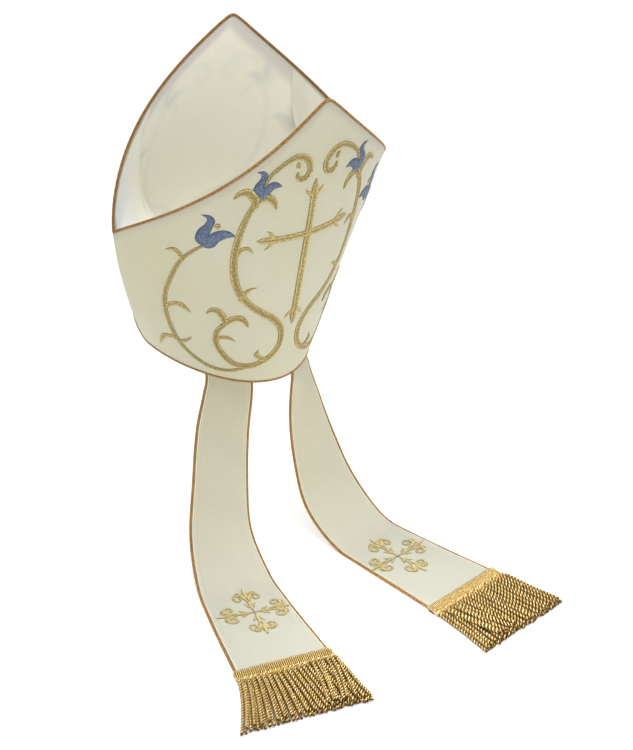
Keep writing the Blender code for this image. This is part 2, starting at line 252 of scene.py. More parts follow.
class Wiring:
    """One Principled material, with short calls that add and link its nodes."""

    def __init__(self, name: str, roughness: float, metallic: float = 0.0, sheen: float = 0.0) -> None:
        """Make the material, with the values that are the same all over set on the shader's own sockets.

        Args:
            name: the material's name.
            roughness: its roughness.
            metallic: how metallic it is.
            sheen: weight of its sheen.
        """
        self.material = bpy.data.materials.new(name)
        self.material.use_nodes = True
        self.tree = self.material.node_tree
        self.shader = self.tree.nodes["Principled BSDF"]
        self.shader.inputs["Roughness"].default_value = roughness
        self.shader.inputs["Metallic"].default_value = metallic
        self.shader.inputs["Sheen Weight"].default_value = sheen
        self.shader.inputs["Sheen Roughness"].default_value = 0.4

    def node(
        self, kind: str, inputs: dict[str | int, object], out: str | int = 0, **settings: object
    ) -> object:
        """Add a node, set or link its inputs, and return one of its outputs.

        Args:
            kind: the node's type, without ShaderNode.
            inputs: socket names or numbers with a value or another node's output.
            out: which output to return.
            settings: the node's own properties.

        Returns:
            The output socket.
        """
        made = self.tree.nodes.new("ShaderNode" + kind)
        for key, value in settings.items():
            setattr(made, key, value)
        for key, value in inputs.items():
            if isinstance(value, bpy.types.NodeSocket):
                self.tree.links.new(value, made.inputs[key])
            else:
                made.inputs[key].default_value = value
        return made.outputs[out]

    def place(self) -> object:
        """Object coordinates, in metres."""
        return self.node("TexCoord", {}, out="Object")

    def threads(self) -> object:
        """The piece's own UV map, in metres."""
        return self.node("UVMap", {}, uv_map="cloth")

    def tone(self, name: str) -> object:
        """A tone carried by the piece's points."""
        return self.node("Attribute", {}, out="Fac", attribute_name=name)

    def bands(self, where: object, pitch: float, axis: str, wander: float = 0.0) -> object:
        """Soft bands one pitch apart; a wave texture repeats every tenth of pi over its scale."""
        inputs = {"Vector": where, "Scale": pi / (10 * pitch), "Distortion": wander}
        return self.node("TexWave", inputs, out="Fac", wave_type="BANDS", bands_direction=axis)

    def noise(self, where: object, size: float, detail: float = 2.0) -> object:
        """Cloudy noise whose features are about one size across."""
        return self.node("TexNoise", {"Vector": where, "Scale": 1 / size, "Detail": detail}, out="Fac")

    def stretched(self, where: object, scale: tuple[float, float, float], turn: float = 0.0) -> object:
        """Coordinates scaled by three factors and turned about Z."""
        return self.node("Mapping", {"Vector": where, "Scale": scale, "Rotation": (0.0, 0.0, turn)})

    def combine(self, a: object, b: object, how: str = "ADD") -> object:
        """One number from two, by the named operation."""
        return self.node("Math", {0: a, 1: b}, operation=how)

    def between(
        self, value: object, low: float, high: float, to_low: float = 0.0, to_high: float = 1.0
    ) -> object:
        """A number moved from one range to another, held inside it."""
        inputs = {"Value": value, "From Min": low, "From Max": high, "To Min": to_low, "To Max": to_high}
        return self.node("MapRange", inputs)

    def mix(self, share: object, first: object, second: object, how: str = "MIX") -> object:
        """A colour between two colours, by a share.

        Args:
            share: how much of the second colour.
            first: a colour or a socket.
            second: a colour or a socket.
            how: how they blend.

        Returns:
            The colour's socket.
        """
        made = self.tree.nodes.new("ShaderNodeMix")
        made.data_type = "RGBA"
        made.blend_type = how
        for socket, value in ((0, share), (6, first), (7, second)):
            if isinstance(value, bpy.types.NodeSocket):
                self.tree.links.new(value, made.inputs[socket])
            else:
                made.inputs[socket].default_value = value if socket == 0 else (*value, 1.0)
        return made.outputs[2]

    def colour(self, value: object) -> None:
        """Link the base colour."""
        self.tree.links.new(value, self.shader.inputs["Base Color"])

    def rough(self, value: object) -> None:
        """Link the roughness."""
        self.tree.links.new(value, self.shader.inputs["Roughness"])

    def relief(self, height: object, depth: float, strength: float) -> None:
        """Link a bump of that depth in metres."""
        inputs = {"Height": height, "Distance": depth, "Strength": strength}
        self.tree.links.new(self.node("Bump", inputs), self.shader.inputs["Normal"])


@dataclass(frozen=True)
class Satin:
    """Fine satin: warp and weft a thread apart, faint long slubs, and slow drifts between two near colours.

    tints are pairs of a tone carried by the piece's points and the colour that the cloth takes on there.
    """

    name: str
    warm: tuple[float, float, float]
    cool: tuple[float, float, float]
    tints: tuple[tuple[str, tuple[float, float, float]], ...]
    roughness: float = 0.62
    sheen: float = 0.25
    thread: float = 0.45 * MM
    slub: float = 0.03

    def dress(self) -> bpy.types.Material:
        """Wire the cloth: drift times slubs in the colour, crossed thread bands in the relief.

        Returns:
            The material.
        """
        w = Wiring(self.name, self.roughness, sheen=self.sheen)
        uv, place = w.threads(), w.place()
        drift = w.between(w.noise(place, 90 * MM), 0.35, 0.65)
        cloth = w.mix(drift, self.warm, self.cool)
        for tone, tint in self.tints:
            cloth = w.mix(w.tone(tone), cloth, tint)
        weft = w.noise(w.stretched(uv, (40.0, 900.0, 1.0)), 1.0, 3.0)
        warp = w.noise(w.stretched(uv, (900.0, 40.0, 1.0)), 1.0, 3.0)
        slubs = w.between(w.combine(weft, warp), 0.7, 1.3, 1 - self.slub, 1 + self.slub)
        shade = w.node("CombineColor", {0: slubs, 1: slubs, 2: slubs})
        w.colour(w.mix(1.0, cloth, shade, "MULTIPLY"))
        weave = w.combine(w.bands(uv, self.thread, "X"), w.bands(uv, self.thread, "Y"))
        w.relief(w.combine(weave, w.combine(weft, warp)), 0.04 * MM, 0.6)
        return w.material


@dataclass(frozen=True)
class StitchedThread:
    """Padded satin stitch: threads across the stroke, speckled, toned inside, painted shadow at the rim."""

    name: str
    light: tuple[float, float, float]
    middle: tuple[float, float, float]
    dark: tuple[float, float, float]
    tone: str
    metallic: float
    roughness: float
    tone_share: float = 0.55
    rim_shadow_share: float = 0.6
    speckle: float = 0.9
    grain: float = 1.6 * MM
    streak: float = 1.6
    thread: float = 0.6 * MM
    skew: float = 0.35

    def dress(self) -> bpy.types.Material:
        """Wire the thread.

        Specks of light and dark are scattered where the noise, drawn out along the threads, is high or low.
        Bands across the stroke add the threads, the tone sinks part of it towards the dark, and so does the
        rim tone, which is painted shadow along the stroke's edge.

        Returns:
            The material.
        """
        w = Wiring(self.name, self.roughness, self.metallic)
        lie = w.stretched(w.threads(), (1.0, 1.0, 1.0), self.skew)
        stitch = w.bands(lie, self.thread, "Y", 1.5)
        grain = w.noise(w.stretched(lie, (1 / self.streak, self.streak, 1.0)), self.grain, 3.0)
        bright = w.between(grain, 0.50, 0.62, 0.0, self.speckle)
        dim = w.between(grain, 0.47, 0.36, 0.0, self.speckle)
        specks = w.mix(dim, w.mix(bright, self.middle, self.light), self.dark)
        lit = w.mix(w.between(stitch, 0.2, 1.0, 0.0, 0.3), specks, self.light)
        threads = w.mix(w.combine(w.tone(self.tone), self.tone_share, "MULTIPLY"), lit, self.dark)
        # The rim tone is painted shadow along the edge of each stroke.
        w.colour(w.mix(w.combine(w.tone("rim"), self.rim_shadow_share, "MULTIPLY"), threads, self.dark))
        w.rough(w.between(grain, 0.3, 0.7, self.roughness - 0.1, self.roughness + 0.12))
        w.relief(w.combine(stitch, w.combine(grain, 1.5, "MULTIPLY")), 0.22 * MM, 0.9)
        return w.material


@dataclass(frozen=True)
class TwistedMetal:
    """Metal-wrapped cord: wound threads on each ply, with painted shade in the grooves.

    gleam tints what it mirrors.
    """

    name: str
    light: tuple[float, float, float]
    dark: tuple[float, float, float]
    # Colour of the painted shade in the grooves and under the cord.
    groove: tuple[float, float, float]
    metallic: float
    roughness: float
    thread: float = 0.5 * MM
    gleam: tuple[float, float, float] = (1.0, 1.0, 1.0)

    def dress(self) -> bpy.types.Material:
        """Wire the cord: slanted bands give the wound threads, the groove tone paints shade for the depth.

        Returns:
            The material.
        """
        w = Wiring(self.name, self.roughness, self.metallic)
        w.shader.inputs["Specular Tint"].default_value = (*self.gleam, 1.0)
        wound = w.bands(w.stretched(w.threads(), (1.0, 1.0, 1.0), 0.7), self.thread, "Y", 0.6)
        spots = w.between(w.noise(w.place(), 2.4 * MM, 3.0), 0.35, 0.65)
        threads = w.mix(spots, self.dark, self.light)
        lit = w.mix(w.combine(wound, 0.4, "MULTIPLY"), threads, self.light)
        # The groove tone paints shade between the plies and on the undersides.
        w.colour(w.mix(w.tone("groove"), lit, self.groove))
        w.relief(wound, 0.12 * MM, 0.7)
        return w.material


@dataclass(frozen=True)
class PlainThread:
    """Sewing thread: one colour with a little grain."""

    name: str
    colour: tuple[float, float, float]

    def dress(self) -> bpy.types.Material:
        """Wire the thread: grain darkens the colour slightly and roughens the relief.

        Returns:
            The material.
        """
        w = Wiring(self.name, 0.7)
        grain = w.noise(w.place(), 0.6 * MM)
        darker = tuple(0.8 * part for part in self.colour)
        w.colour(w.mix(grain, self.colour, darker))
        w.relief(grain, 0.05 * MM, 0.5)
        return w.material


# On the ivory satin this tint is painted shade in a band just under the edge cord.
IVORY = Satin(
    "ivory_satin", (0.480, 0.455, 0.313), (0.492, 0.473, 0.350), tints=(("facing", (0.415, 0.396, 0.315)),)
)
LAPPET_SATIN = Satin(
    "lappet_satin", (0.434, 0.409, 0.277), (0.415, 0.396, 0.298), tints=(("foot", (0.446, 0.440, 0.366)),)
)
# Painted shade where the embroidery shows through the lining; the second tint is the turned-in band.
LINING = Satin(
    "lining_satin", (0.915, 0.893, 0.765), (0.91, 0.895, 0.805), slub=0.02, sheen=0.15,
    tints=(("show_through_shade", (0.62, 0.66, 0.64)), ("facing", (0.70, 0.665, 0.62))),
)
# The gussets' cloth: the lining's cloth made darker as painted shade.
GUSSET_SHADED_LINING = Satin(
    "gusset_lining_shaded", (0.84, 0.825, 0.71), (0.84, 0.83, 0.73), slub=0.02, roughness=0.5,
    tints=(("notch", (0.80, 0.815, 0.83)), ("shade", (0.79, 0.775, 0.67))),
)
GOLD = StitchedThread(
    "gold_stitching", (0.76, 0.645, 0.285), (0.445, 0.34, 0.095), (0.12, 0.075, 0.016), "core", 0.3, 0.4,
    tone_share=0.5, rim_shadow_share=0.8, grain=1.55 * MM, streak=1.2,
)
# The same gold thread made lighter for the lappets: painted light, as they lie flat and catch more light.
GOLD_PAINTED_LIGHTER = StitchedThread(
    "fine_gold_stitching", (0.80, 0.70, 0.37), (0.47, 0.385, 0.145), (0.17, 0.115, 0.03), "core", 0.3, 0.38,
    rim_shadow_share=0.8,
)
BLUE = StitchedThread(
    "blue_stitching", (0.185, 0.245, 0.345), (0.068, 0.104, 0.192), (0.016, 0.027, 0.068), "shade", 0.0, 0.5,
    tone_share=0.5, speckle=0.8, grain=2.2 * MM, streak=0.6,
)
COPPER = TwistedMetal(
    "copper_cord", (0.56, 0.315, 0.075), (0.235, 0.105, 0.019), (0.055, 0.02, 0.004), 0.3, 0.38
)
BULLION = TwistedMetal(
    "gold_bullion", (1.0, 0.79, 0.36), (0.60, 0.35, 0.09), (0.04, 0.012, 0.002), 0.7, 0.33,
    thread=0.7 * MM, gleam=(1.0, 0.72, 0.38),
)
# Ivory sewing thread; on the lappets it also colours the folds pale as a painted highlight.
THREAD_AND_FOLD_HIGHLIGHT = PlainThread("ivory_thread", (0.80, 0.77, 0.64))
SEAM = PlainThread("seam_thread", (0.60, 0.57, 0.45))
FLANGE = PlainThread("flange_tape", (0.66, 0.58, 0.57))


@dataclass(frozen=True)
class CrownForm:
    """The crown's form in its upright frame, by the same sizes and formulas as the solids."""

    rim_width: float = 0.176
    rim_depth: float = 0.1954
    notch_width: float = 0.3026
    notch_depth: float = 0.1727
    peak_depth: float = 0.1414
    notch_height: float = 0.150
    peak_height: float = 0.304
    side_swell: float = 0.0058
    lean: float = radians(15.6)
    wall: float = 0.002
    rim_roundness: float = 1.30
    notch_roundness: float = 1.80
    peak_roundness: float = 0.92
    tip_rounding: float = 0.02
    clearance: float = 0.0003
    edge_across: tuple[float, ...] = (0.0, 0.25, 0.5, 0.75, 1.0)
    edge_rise: tuple[float, ...] = (1.0, 0.63, 0.33, 0.11, 0.0)
    hand: float = 0.35 * MM

    def parabola(self, height: Array, rim: float, notch: float, peak: float) -> Array:
        """The parabola over height through a value at the rim, the notch and the peak.

        Args:
            height: height above the rim in the upright frame.
            rim: value at the rim.
            notch: value at the notch.
            peak: value at the peak.

        Returns:
            The value at that height.
        """
        low, top = self.notch_height, self.peak_height
        at_rim = (height - low) * (height - top) / (low * top)
        at_notch = height * (height - top) / (low * (low - top))
        at_peak = height * (height - low) / (top * (top - low))
        return rim * at_rim + notch * at_notch + peak * at_peak

    def section(self, height: Array, inset: Array | float = 0.0) -> tuple[Array, Array, Array]:
        """Half width, half depth and roundness of the cross-section.

        The width grows in a straight line from rim to notch with a swell between; depth and roundness are
        parabolas through rim, notch and peak.

        Args:
            height: height above the rim in the upright frame.
            inset: depth in from the outside of the cloth.

        Returns:
            Half width, half depth, and the cosine's exponent.
        """
        up = height / self.notch_height
        width = (self.rim_width + (self.notch_width - self.rim_width) * up) / 2
        width = width + self.side_swell * 4 * up * (1 - up) - inset
        depth = self.parabola(height, self.rim_depth, self.notch_depth, self.peak_depth) / 2 - inset
        roundness = self.parabola(height, self.rim_roundness, self.notch_roundness, self.peak_roundness)
        return width, depth, roundness

    def upright(self, across: Array, height: Array, face: Face, inset: Array | float = 0.0) -> Array:
        """Point of a horn in the upright frame.

        Aside is the half width times the sine of the way round; depth is the half depth times the cosine to
        the power of the roundness.

        Args:
            across: way round the horn, from -1 to 1.
            height: height above the rim.
            face: which horn.
            inset: depth in from the outside.

        Returns:
            Points, with x, y and z last.
        """
        width, depth, roundness = self.section(height, inset)
        angle = across * pi / 2
        back = face.value * (depth * np.abs(np.cos(angle)) ** roundness + self.clearance / 2)
        return np.stack(np.broadcast_arrays(width * np.sin(angle), back, height), -1)

    def leaned(self, upright: Array) -> Array:
        """Points turned back about X by the lean, round the middle of the rim.

        Args:
            upright: points in the upright frame.

        Returns:
            The points as worn.
        """
        x, y, z = np.moveaxis(upright, -1, 0)
        c, s = cos(self.lean), sin(self.lean)
        return np.stack([x, y * c + z * s, z * c - y * s], -1)

    def edge(self, across: Array) -> Array:
        """Height of a horn's edge: the polynomial through the rows of rise, rounded off at the peak.

        Args:
            across: way round the horn, from -1 to 1.

        Returns:
            Heights above the rim.
        """
        curve = np.polynomial.polynomial.polyfit(self.edge_across, self.edge_rise, len(self.edge_rise) - 1)
        rise = np.polynomial.polynomial.polyval(np.hypot(across, self.tip_rounding), curve)
        return self.notch_height + (self.peak_height - self.notch_height) * rise

    def below_edge(self, across: Array, distance: float) -> Array:
        """Height that lies a distance below the edge, measured square to the edge's own slope.

        Args:
            across: way round the horn, from -1 to 1.
            distance: how far below the edge.

        Returns:
            Heights above the rim.
        """
        height = self.edge(across)
        line = self.upright(across, height, Face.BACK)
        step = np.linalg.norm(np.gradient(line, axis=0), axis=1)
        rise = np.gradient(height)
        flat = np.sqrt(np.maximum(step**2 - rise**2, 1e-12))
        return height - distance * np.hypot(1.0, np.abs(rise) / flat)

    def softness(self, across: Array, height: Array) -> Array:
        """How far the cloth swells out: two crossed slow waves that fade out at the rim and the edge.

        Args:
            across: way round the horn, from -1 to 1.
            height: height above the rim in the upright frame.

        Returns:
            Distances outwards.
        """
        fade = ease((self.edge(across) - height) / 0.03) * ease(height / 0.03)
        aside = across * self.notch_width / 2
        wave = np.sin(52 * aside + 31 * height + 0.6) * np.cos(44 * height - 17 * aside)
        fold = np.sin(95 * aside - 40 * height + 2.0) * 0.45
        return self.hand * fade * (wave + fold)

    def cloth(self, across: Array, height: Array, face: Face, inset: Array | float = 0.0) -> Array:
        """Leaned point of the cloth at a depth in from its outer side, with the cloth's soft hand."""
        return self.leaned(self.upright(across, height, face, inset - self.softness(across, height)))


class CrownMap:
    """Finds the way round a horn from a distance measured on its cloth, so that ornament is laid out flat."""

    rows: int = 121
    columns: int = 161

    def __init__(self, form: CrownForm) -> None:
        """Tabulate, for each height, the way round at even shares of the cloth's half breadth.

        Args:
            form: the crown's form.
        """
        self.form = form
        self.heights = np.linspace(0.0, form.peak_height, self.rows)
        across = np.linspace(0.0, 1.0, self.columns)
        points = form.upright(across[None, :], self.heights[:, None], Face.BACK)
        steps = np.linalg.norm(np.diff(points, axis=1), axis=2)
        breadth = np.column_stack([np.zeros(self.rows), np.cumsum(steps, axis=1)])
        self.half = breadth[:, -1]
        shares = np.linspace(0.0, 1.0, self.columns)
        self.table = np.array([np.interp(shares * row[-1], row, across) for row in breadth])
        self.breadth = breadth

    def half_breadth(self, height: Array) -> Array:
        """Breadth of the cloth from its middle to its side at a height."""
        return np.interp(height, self.heights, self.half)

    def way_round(self, aside: Array, height: Array) -> Array:
        """Way round the horn at a distance from the middle line.

        Reads the table in between its rows and columns, in proportion.

        Args:
            aside: distance on the cloth from the middle line, either side.
            height: height above the rim.

        Returns:
            The way round, from -1 to 1.
        """
        share = np.clip(np.abs(aside) / self.half_breadth(height), 0.0, 1.0) * (self.columns - 1)
        level = np.clip(height / self.form.peak_height, 0.0, 1.0) * (self.rows - 1)
        low_share = np.minimum(share.astype(int), self.columns - 2)
        low_level = np.minimum(level.astype(int), self.rows - 2)
        u, v = share - low_share, level - low_level
        below = self.table[low_level, low_share] * (1 - u) + self.table[low_level, low_share + 1] * u
        above = self.table[low_level + 1, low_share] * (1 - u) + self.table[low_level + 1, low_share + 1] * u
        return np.sign(aside) * (below * (1 - v) + above * v)

    def distance(self, across: Array, height: Array) -> Array:
        """Distance on the cloth from the middle line, by the share of the half breadth at that way round.

        Args:
            across: way round the horn, from -1 to 1.
            height: height above the rim in the upright frame.

        Returns:
            Distances, negative on the -X side.
        """
        level = np.clip(height / self.form.peak_height, 0.0, 1.0) * (self.rows - 1)
        low = np.minimum(level.astype(int), self.rows - 2)
        column = np.abs(across) * (self.columns - 1)
        left = np.minimum(column.astype(int), self.columns - 2)
        u, v = column - left, level - low
        below = self.breadth[low, left] * (1 - u) + self.breadth[low, left + 1] * u
        above = self.breadth[low + 1, left] * (1 - u) + self.breadth[low + 1, left + 1] * u
        return np.sign(across) * (below * (1 - v) + above * v)

    def surface(self, face: Face) -> Surface:
        """A function that lays flat points (aside, height, lift) on one horn's cloth.

        Args:
            face: which horn.

        Returns:
            The function.
        """

        def lay(aside: Array, height: Array, lift: Array) -> Array:
            """Cloth point at the way round for that distance, raised by the lift."""
            return self.form.cloth(self.way_round(aside, height), height, face, -lift)

        return lay


@dataclass(frozen=True)
class Stroke:
    """A stitched stroke: a line through points (aside, up) and half widths at even shares, in millimetres.

    core is the share of the half width that is darker and lower, as in laid gold thread.
    """

    points: tuple[tuple[float, float], ...]
    half: tuple[float, ...]
    core: float = 0.55
    height: float = 0.85

    def sides(self) -> tuple[Array, Array]:
        """Left and right edges: the line moved sideways, square to itself, by the half width.

        Returns:
            Points of both edges.
        """
        rough_length = lengths_along(np.asarray(self.points, dtype=float))[-1]
        line = through(self.points, max(int(rough_length / 0.5), 12))
        way = unit(np.gradient(line, axis=0))
        square = np.column_stack([-way[:, 1], way[:, 0]])
        shares = np.linspace(0.0, 1.0, len(self.half))
        read = hermite(shares, np.asarray(self.half, dtype=float), np.linspace(0.0, 1.0, len(line)))
        half = np.maximum(read, 0.06)
        return (line + square * half[:, None]) * MM, (line - square * half[:, None]) * MM


@dataclass(frozen=True)
class Petal:
    """A stitched shape between two edges that start and end together, through points in millimetres."""

    left: tuple[tuple[float, float], ...]
    right: tuple[tuple[float, float], ...]
    core: float = 0.0
    height: float = 0.8

    def sides(self) -> tuple[Array, Array]:
        """Both edges as smooth curves with as many points each, held a hair apart at their ends.

        Returns:
            Points of both edges.
        """
        count = max(int(lengths_along(np.asarray(self.left, dtype=float))[-1] / 0.5), 16)
        left, right = through(self.left, count), through(self.right, count)
        apart = np.maximum(np.linalg.norm(left - right, axis=1), 0.1)
        square = unit(left - right)
        middle = (left + right) / 2
        return (middle + square * apart[:, None] / 2) * MM, (middle - square * apart[:, None] / 2) * MM


Shape = Stroke | Petal


def dot(aside: float, up: float, radius: float) -> Stroke:
    """A round dot: a stroke one diameter long whose half width follows a circle."""
    half = tuple(radius * (1 - (1 - 0.25 * step) ** 2) ** 0.5 for step in range(9))
    return Stroke(((aside - radius, up), (aside, up), (aside + radius, up)), half, core=0.35)


class Embroidery:
    """Lays stitched shapes on a cloth: each is a crowned band with thin raised rims and a lower core."""

    across: tuple[float, ...] = (-1.0, -0.93, -0.8, -0.62, -0.4, -0.15, 0.15, 0.4, 0.62, 0.8, 0.93, 1.0)
    rise: tuple[float, ...] = (0.0, 0.7, 1.0, 0.95, 0.85, 0.8)
    full_width: float = 1.6 * MM
    sunk: float = 0.25 * MM
    roughness: float = 0.06 * MM
    rim_shadow_fade: float = 0.35 * MM
    shade_width: float = 2.2 * MM

    def __init__(self, surface: Surface, seed: int, outline_shadow: float = 0.42 * MM) -> None:
        """Work on one cloth.

        Args:
            surface: lays flat points on the cloth.
            seed: start of the random draws.
            outline_shadow: width of the painted shadow along each stroke's edge.
        """
        self.surface = surface
        self.outline_shadow = outline_shadow
        self.random = np.random.default_rng(seed)

    def lay(self, pile: MeshPile, shape: Shape, mirror: int = 1) -> None:
        """Add one shape to a pile.

        Each point lies between the two edges by its place across; its lift is the shape's height times the
        band's profile, less where the band is narrow, with a little unevenness.

        Args:
            pile: bodies so far.
            shape: a stroke or a petal.
            mirror: -1 turns it over the middle line.
        """
        left, right = shape.sides()
        across = np.array(self.across)
        profile = np.array(self.rise + self.rise[::-1])
        core = ease((shape.core + 0.12 - np.abs(across)) / 0.2) if shape.core else np.zeros(len(across))
        crown = (1 - np.abs(across) ** 2.6) ** 0.6
        band = profile * (1 - 0.3 * core) if shape.core else crown
        middle, half = (left + right) / 2, (left - right) / 2
        width = np.linalg.norm(half, axis=1)
        flat = middle[:, None] + half[:, None] * across[None, :, None]
        fullness = np.minimum(width / self.full_width, 1.0) ** 0.6
        lift = shape.height * MM * band[None, :] * fullness[:, None]
        uneven = self.random.normal(0.0, self.roughness, lift.shape)
        lift = lift + uneven * (band > 0)[None, :] * fullness[:, None]
        ends = np.stack([flat[:, -1], flat[:, 0]], axis=1)
        flat = np.concatenate([flat, ends], axis=1)
        lift = np.concatenate([lift, np.full((len(flat), 2), -self.sunk)], axis=1)
        grid = self.surface(mirror * flat[..., 0], flat[..., 1], lift)
        along = lengths_along(middle)
        sideways = np.concatenate([width[:, None] * across[None, :], width[:, None] * [[1.0, -1.0]]], axis=1)
        rows = np.ones((len(along), 1))
        narrow = 0.7 * ease(1 - width / self.shade_width)
        shade = np.maximum(ease((np.abs(across) - 0.5) / 0.45) * rows, narrow[:, None])
        # Painted shadow a set width in from each stroke's edge, and over its sunk ends.
        rim = ease((self.outline_shadow - width[:, None] * (1 - np.abs(across))) / self.rim_shadow_fade)
        tones = {
            "core": np.concatenate([core * rows, 0 * rows, 0 * rows], axis=1),
            "shade": np.concatenate([shade, rows, rows], axis=1),
            "rim": np.concatenate([rim, rows, rows], axis=1),
        }
        pile.add(grid, plain_map(grid, sideways, along[:, None]), tones)


def mirrored(pile: MeshPile, work: Embroidery, shapes: tuple[Shape, ...]) -> None:
    """Add each shape and its mirror image."""
    for shape in shapes:
        work.lay(pile, shape)
        work.lay(pile, shape, -1)


VINES: tuple[Shape, ...] = (
    Stroke(
        ((60, 206), (66, 191), (70, 170), (71, 150), (68, 128), (61, 109), (49, 94), (34, 83), (20, 73),
         (11, 59), (11, 42), (21, 28), (37, 19.5), (52, 21), (64, 31), (72, 44), (73, 58), (67, 70)),
        (2.6, 3.3, 3.5, 3.6, 3.6, 3.4, 3.2, 3.1, 3.0, 2.8, 2.4),
    ),
    Stroke(
        ((101, 159), (110, 150), (118, 137), (123, 118), (126, 95), (124, 76), (117, 54), (107, 35), (97, 24),
         (83, 15), (69, 10.5), (56, 11), (43, 16), (27, 25)),
        (1.5, 2.0, 2.1, 2.1, 2.1, 2.0, 1.9, 1.8, 1.4),
    ),
    Stroke(
        ((54, 224), (49, 235), (38, 244), (27, 249), (18, 247.5), (11, 241), (9, 232), (13, 225.5),
         (18, 225.5), (22, 229), (22, 233)),
        (1.2, 1.9, 2.3, 2.7, 3.1, 3.4, 3.3, 3.1, 2.8, 1.2),
    ),
)
LEAVES: tuple[Shape, ...] = (
    Stroke(((59, 202), (62, 212), (70, 219), (77, 217), (81, 212)), (2.4, 3.7, 4.2, 3.9, 2.7, 0.5), core=0.5),
    Stroke(
        ((60, 204), (55, 210.5), (47, 210.5), (41, 204), (39, 198)), (1.2, 3.0, 3.8, 3.6, 2.6, 0.5), core=0.5
    ),
    Stroke(((67, 68), (71, 78), (78, 84.5), (83, 83), (86, 78)), (1.6, 2.9, 3.5, 3.2, 2.2, 0.4), core=0.5),
    Stroke(((67, 68), (62, 75.5), (54, 77), (48, 72), (45.5, 67)), (1.6, 2.9, 3.4, 3.2, 2.2, 0.4), core=0.5),
    Stroke(((69, 149), (66, 156), (60, 157.5), (53.5, 152.5)), (1.4, 2.1, 1.9, 0.1), core=0.3),
    Stroke(((58, 98), (55, 106), (50, 111.5), (44, 113)), (1.8, 2.2, 1.4, 0.1), core=0.3),
    Stroke(((73, 47), (68, 51.5), (61, 52), (54.5, 48.5)), (1.3, 2.1, 1.7, 0.1), core=0.3),
    Stroke(((21, 27), (28, 29), (32, 33), (31, 39.5)), (1.3, 2.5, 2.3, 0.1), core=0.3),
    Stroke(((116, 138), (120, 146), (126, 150.5), (133, 148)), (1.2, 2.1, 1.8, 0.1), core=0.3),
    Stroke(((123, 74), (119, 81), (111, 83.5), (100, 76)), (1.3, 2.4, 2.2, 0.1), core=0.3),
    Stroke(((104, 31), (110, 36), (120, 33.5), (124, 17)), (1.2, 2.3, 2.2, 0.1), core=0.3),
    Stroke(((106, 33), (101, 36), (97, 40), (95, 45)), (1.4, 1.9, 1.4, 0.1), core=0.3),
    dot(91, 182, 3.1),
    Stroke(((21.5, 237), (22.5, 240), (23.5, 243)), (0.8, 2.1, 2.4, 2.1, 0.8), core=0.35),
)
FLOWERS: tuple[Shape, ...] = (
    Petal(
        ((100, 157.5), (108.5, 165), (108, 176), (102.5, 184), (101.5, 189.5), (108, 194)),
        ((100, 157.5), (96, 165), (96.5, 173), (95, 181), (94, 188), (99, 193.5), (108, 194)),
    ),
    Petal(
        ((102, 158.5), (99, 168), (94, 175), (86, 178), (79, 176.5), (73, 171.5)),
        ((102, 158.5), (96, 156.5), (90.5, 159), (87, 165), (81, 169), (73, 171.5)),
        height=0.9,
    ),
    Petal(
        ((56, 211), (64, 218), (63.5, 226), (59.5, 232), (59, 236), (64, 239.5)),
        ((56, 211), (52.5, 218), (53.5, 225), (52.5, 231), (52.5, 236), (57, 240), (64, 239.5)),
    ),
    Petal(
        ((58, 212), (56, 219), (52, 225), (46, 227.5), (41, 226), (36, 221.5)),
        ((58, 212), (53, 210.5), (48.5, 213.5), (46, 218), (42, 220.5), (36, 221.5)),
        height=0.9,
    ),
)


@dataclass(frozen=True)
class CrossWork:
    """The cross in the middle: two lancet bars, each end with a pair of curled barbs, in millimetres."""

    top: float = 222.0
    bottom: float = 64.0
    arm: float = 53.0
    crossing: float = 165.0
    half: float = 3.4
    core: float = 0.3

    def bar(self, start: tuple[float, float], end: tuple[float, float], height: float) -> Stroke:
        """A straight bar that narrows to a point over the last part at both ends.

        Args:
            start: one tip.
            end: the other tip.
            height: how high it stands off the cloth.

        Returns:
            The bar.
        """
        half = (0.1, 0.95 * self.half, *(self.half,) * 17, 0.95 * self.half, 0.1)
        middle = ((start[0] + end[0]) / 2, (start[1] + end[1]) / 2)
        return Stroke((start, middle, end), half, core=self.core, height=height)

    def barb(self, tip: tuple[float, float], inward: tuple[float, float], side: int) -> Stroke:
        """A barb beside a tip: it leaves the bar 18 mm in and curls out and forward.

        Args:
            tip: the bar's tip.
            inward: direction from the tip into the bar.
            side: 1 or -1, which side of the bar.

        Returns:
            The barb.
        """
        square = (-inward[1] * side, inward[0] * side)
        rows = ((18.0, 1.0), (15.0, 4.6), (12.6, 7.6), (8.6, 10.4))
        points = tuple(
            (tip[0] + inward[0] * back + square[0] * out, tip[1] + inward[1] * back + square[1] * out)
            for back, out in rows
        )
        return Stroke(points, (1.7, 1.9, 1.3, 0.1), core=0.0, height=0.8)

    def shapes(self) -> tuple[Shape, ...]:
        """Both bars and the eight barbs.

        Returns:
            The shapes, the upright bar last.
        """
        ends = (
            ((0.0, self.top), (0.0, -1.0)),
            ((0.0, self.bottom), (0.0, 1.0)),
            ((self.arm, self.crossing), (-1.0, 0.0)),
            ((-self.arm, self.crossing), (1.0, 0.0)),
        )
        barbs = tuple(self.barb(tip, inward, side) for tip, inward in ends for side in (1, -1))
        level = self.bar((-self.arm, self.crossing), (self.arm, self.crossing), 0.85)
        upright = self.bar((0.0, self.bottom), (0.0, self.top), 1.15)
        return (*barbs, level, upright)


def underside(grid: Array, path: Array, out: Array, radius: float) -> Array:
    """Painted shade of a cord's side away from out: none near its top, full from just below its middle."""
    up = np.einsum("ijk,ik->ij", grid - path[:, None], out) / radius
    return ease((0.6 - up) / 0.8)


def headings(path: Array, ring: bool) -> Array:
    """Directions along a path, from the point before to the point after, round its end where it is a ring."""
    across_point = np.roll(path, -1, axis=0) - np.roll(path, 1, axis=0) if ring else np.gradient(path, axis=0)
    return unit(across_point)


def circles(turn: Array, out: Array, square: Array) -> Array:
    """Directions round each point of a path: out times the cosine of the turn plus square times its sine."""
    return np.cos(turn)[None, :, None] * out[:, None] + np.sin(turn)[None, :, None] * square[:, None]


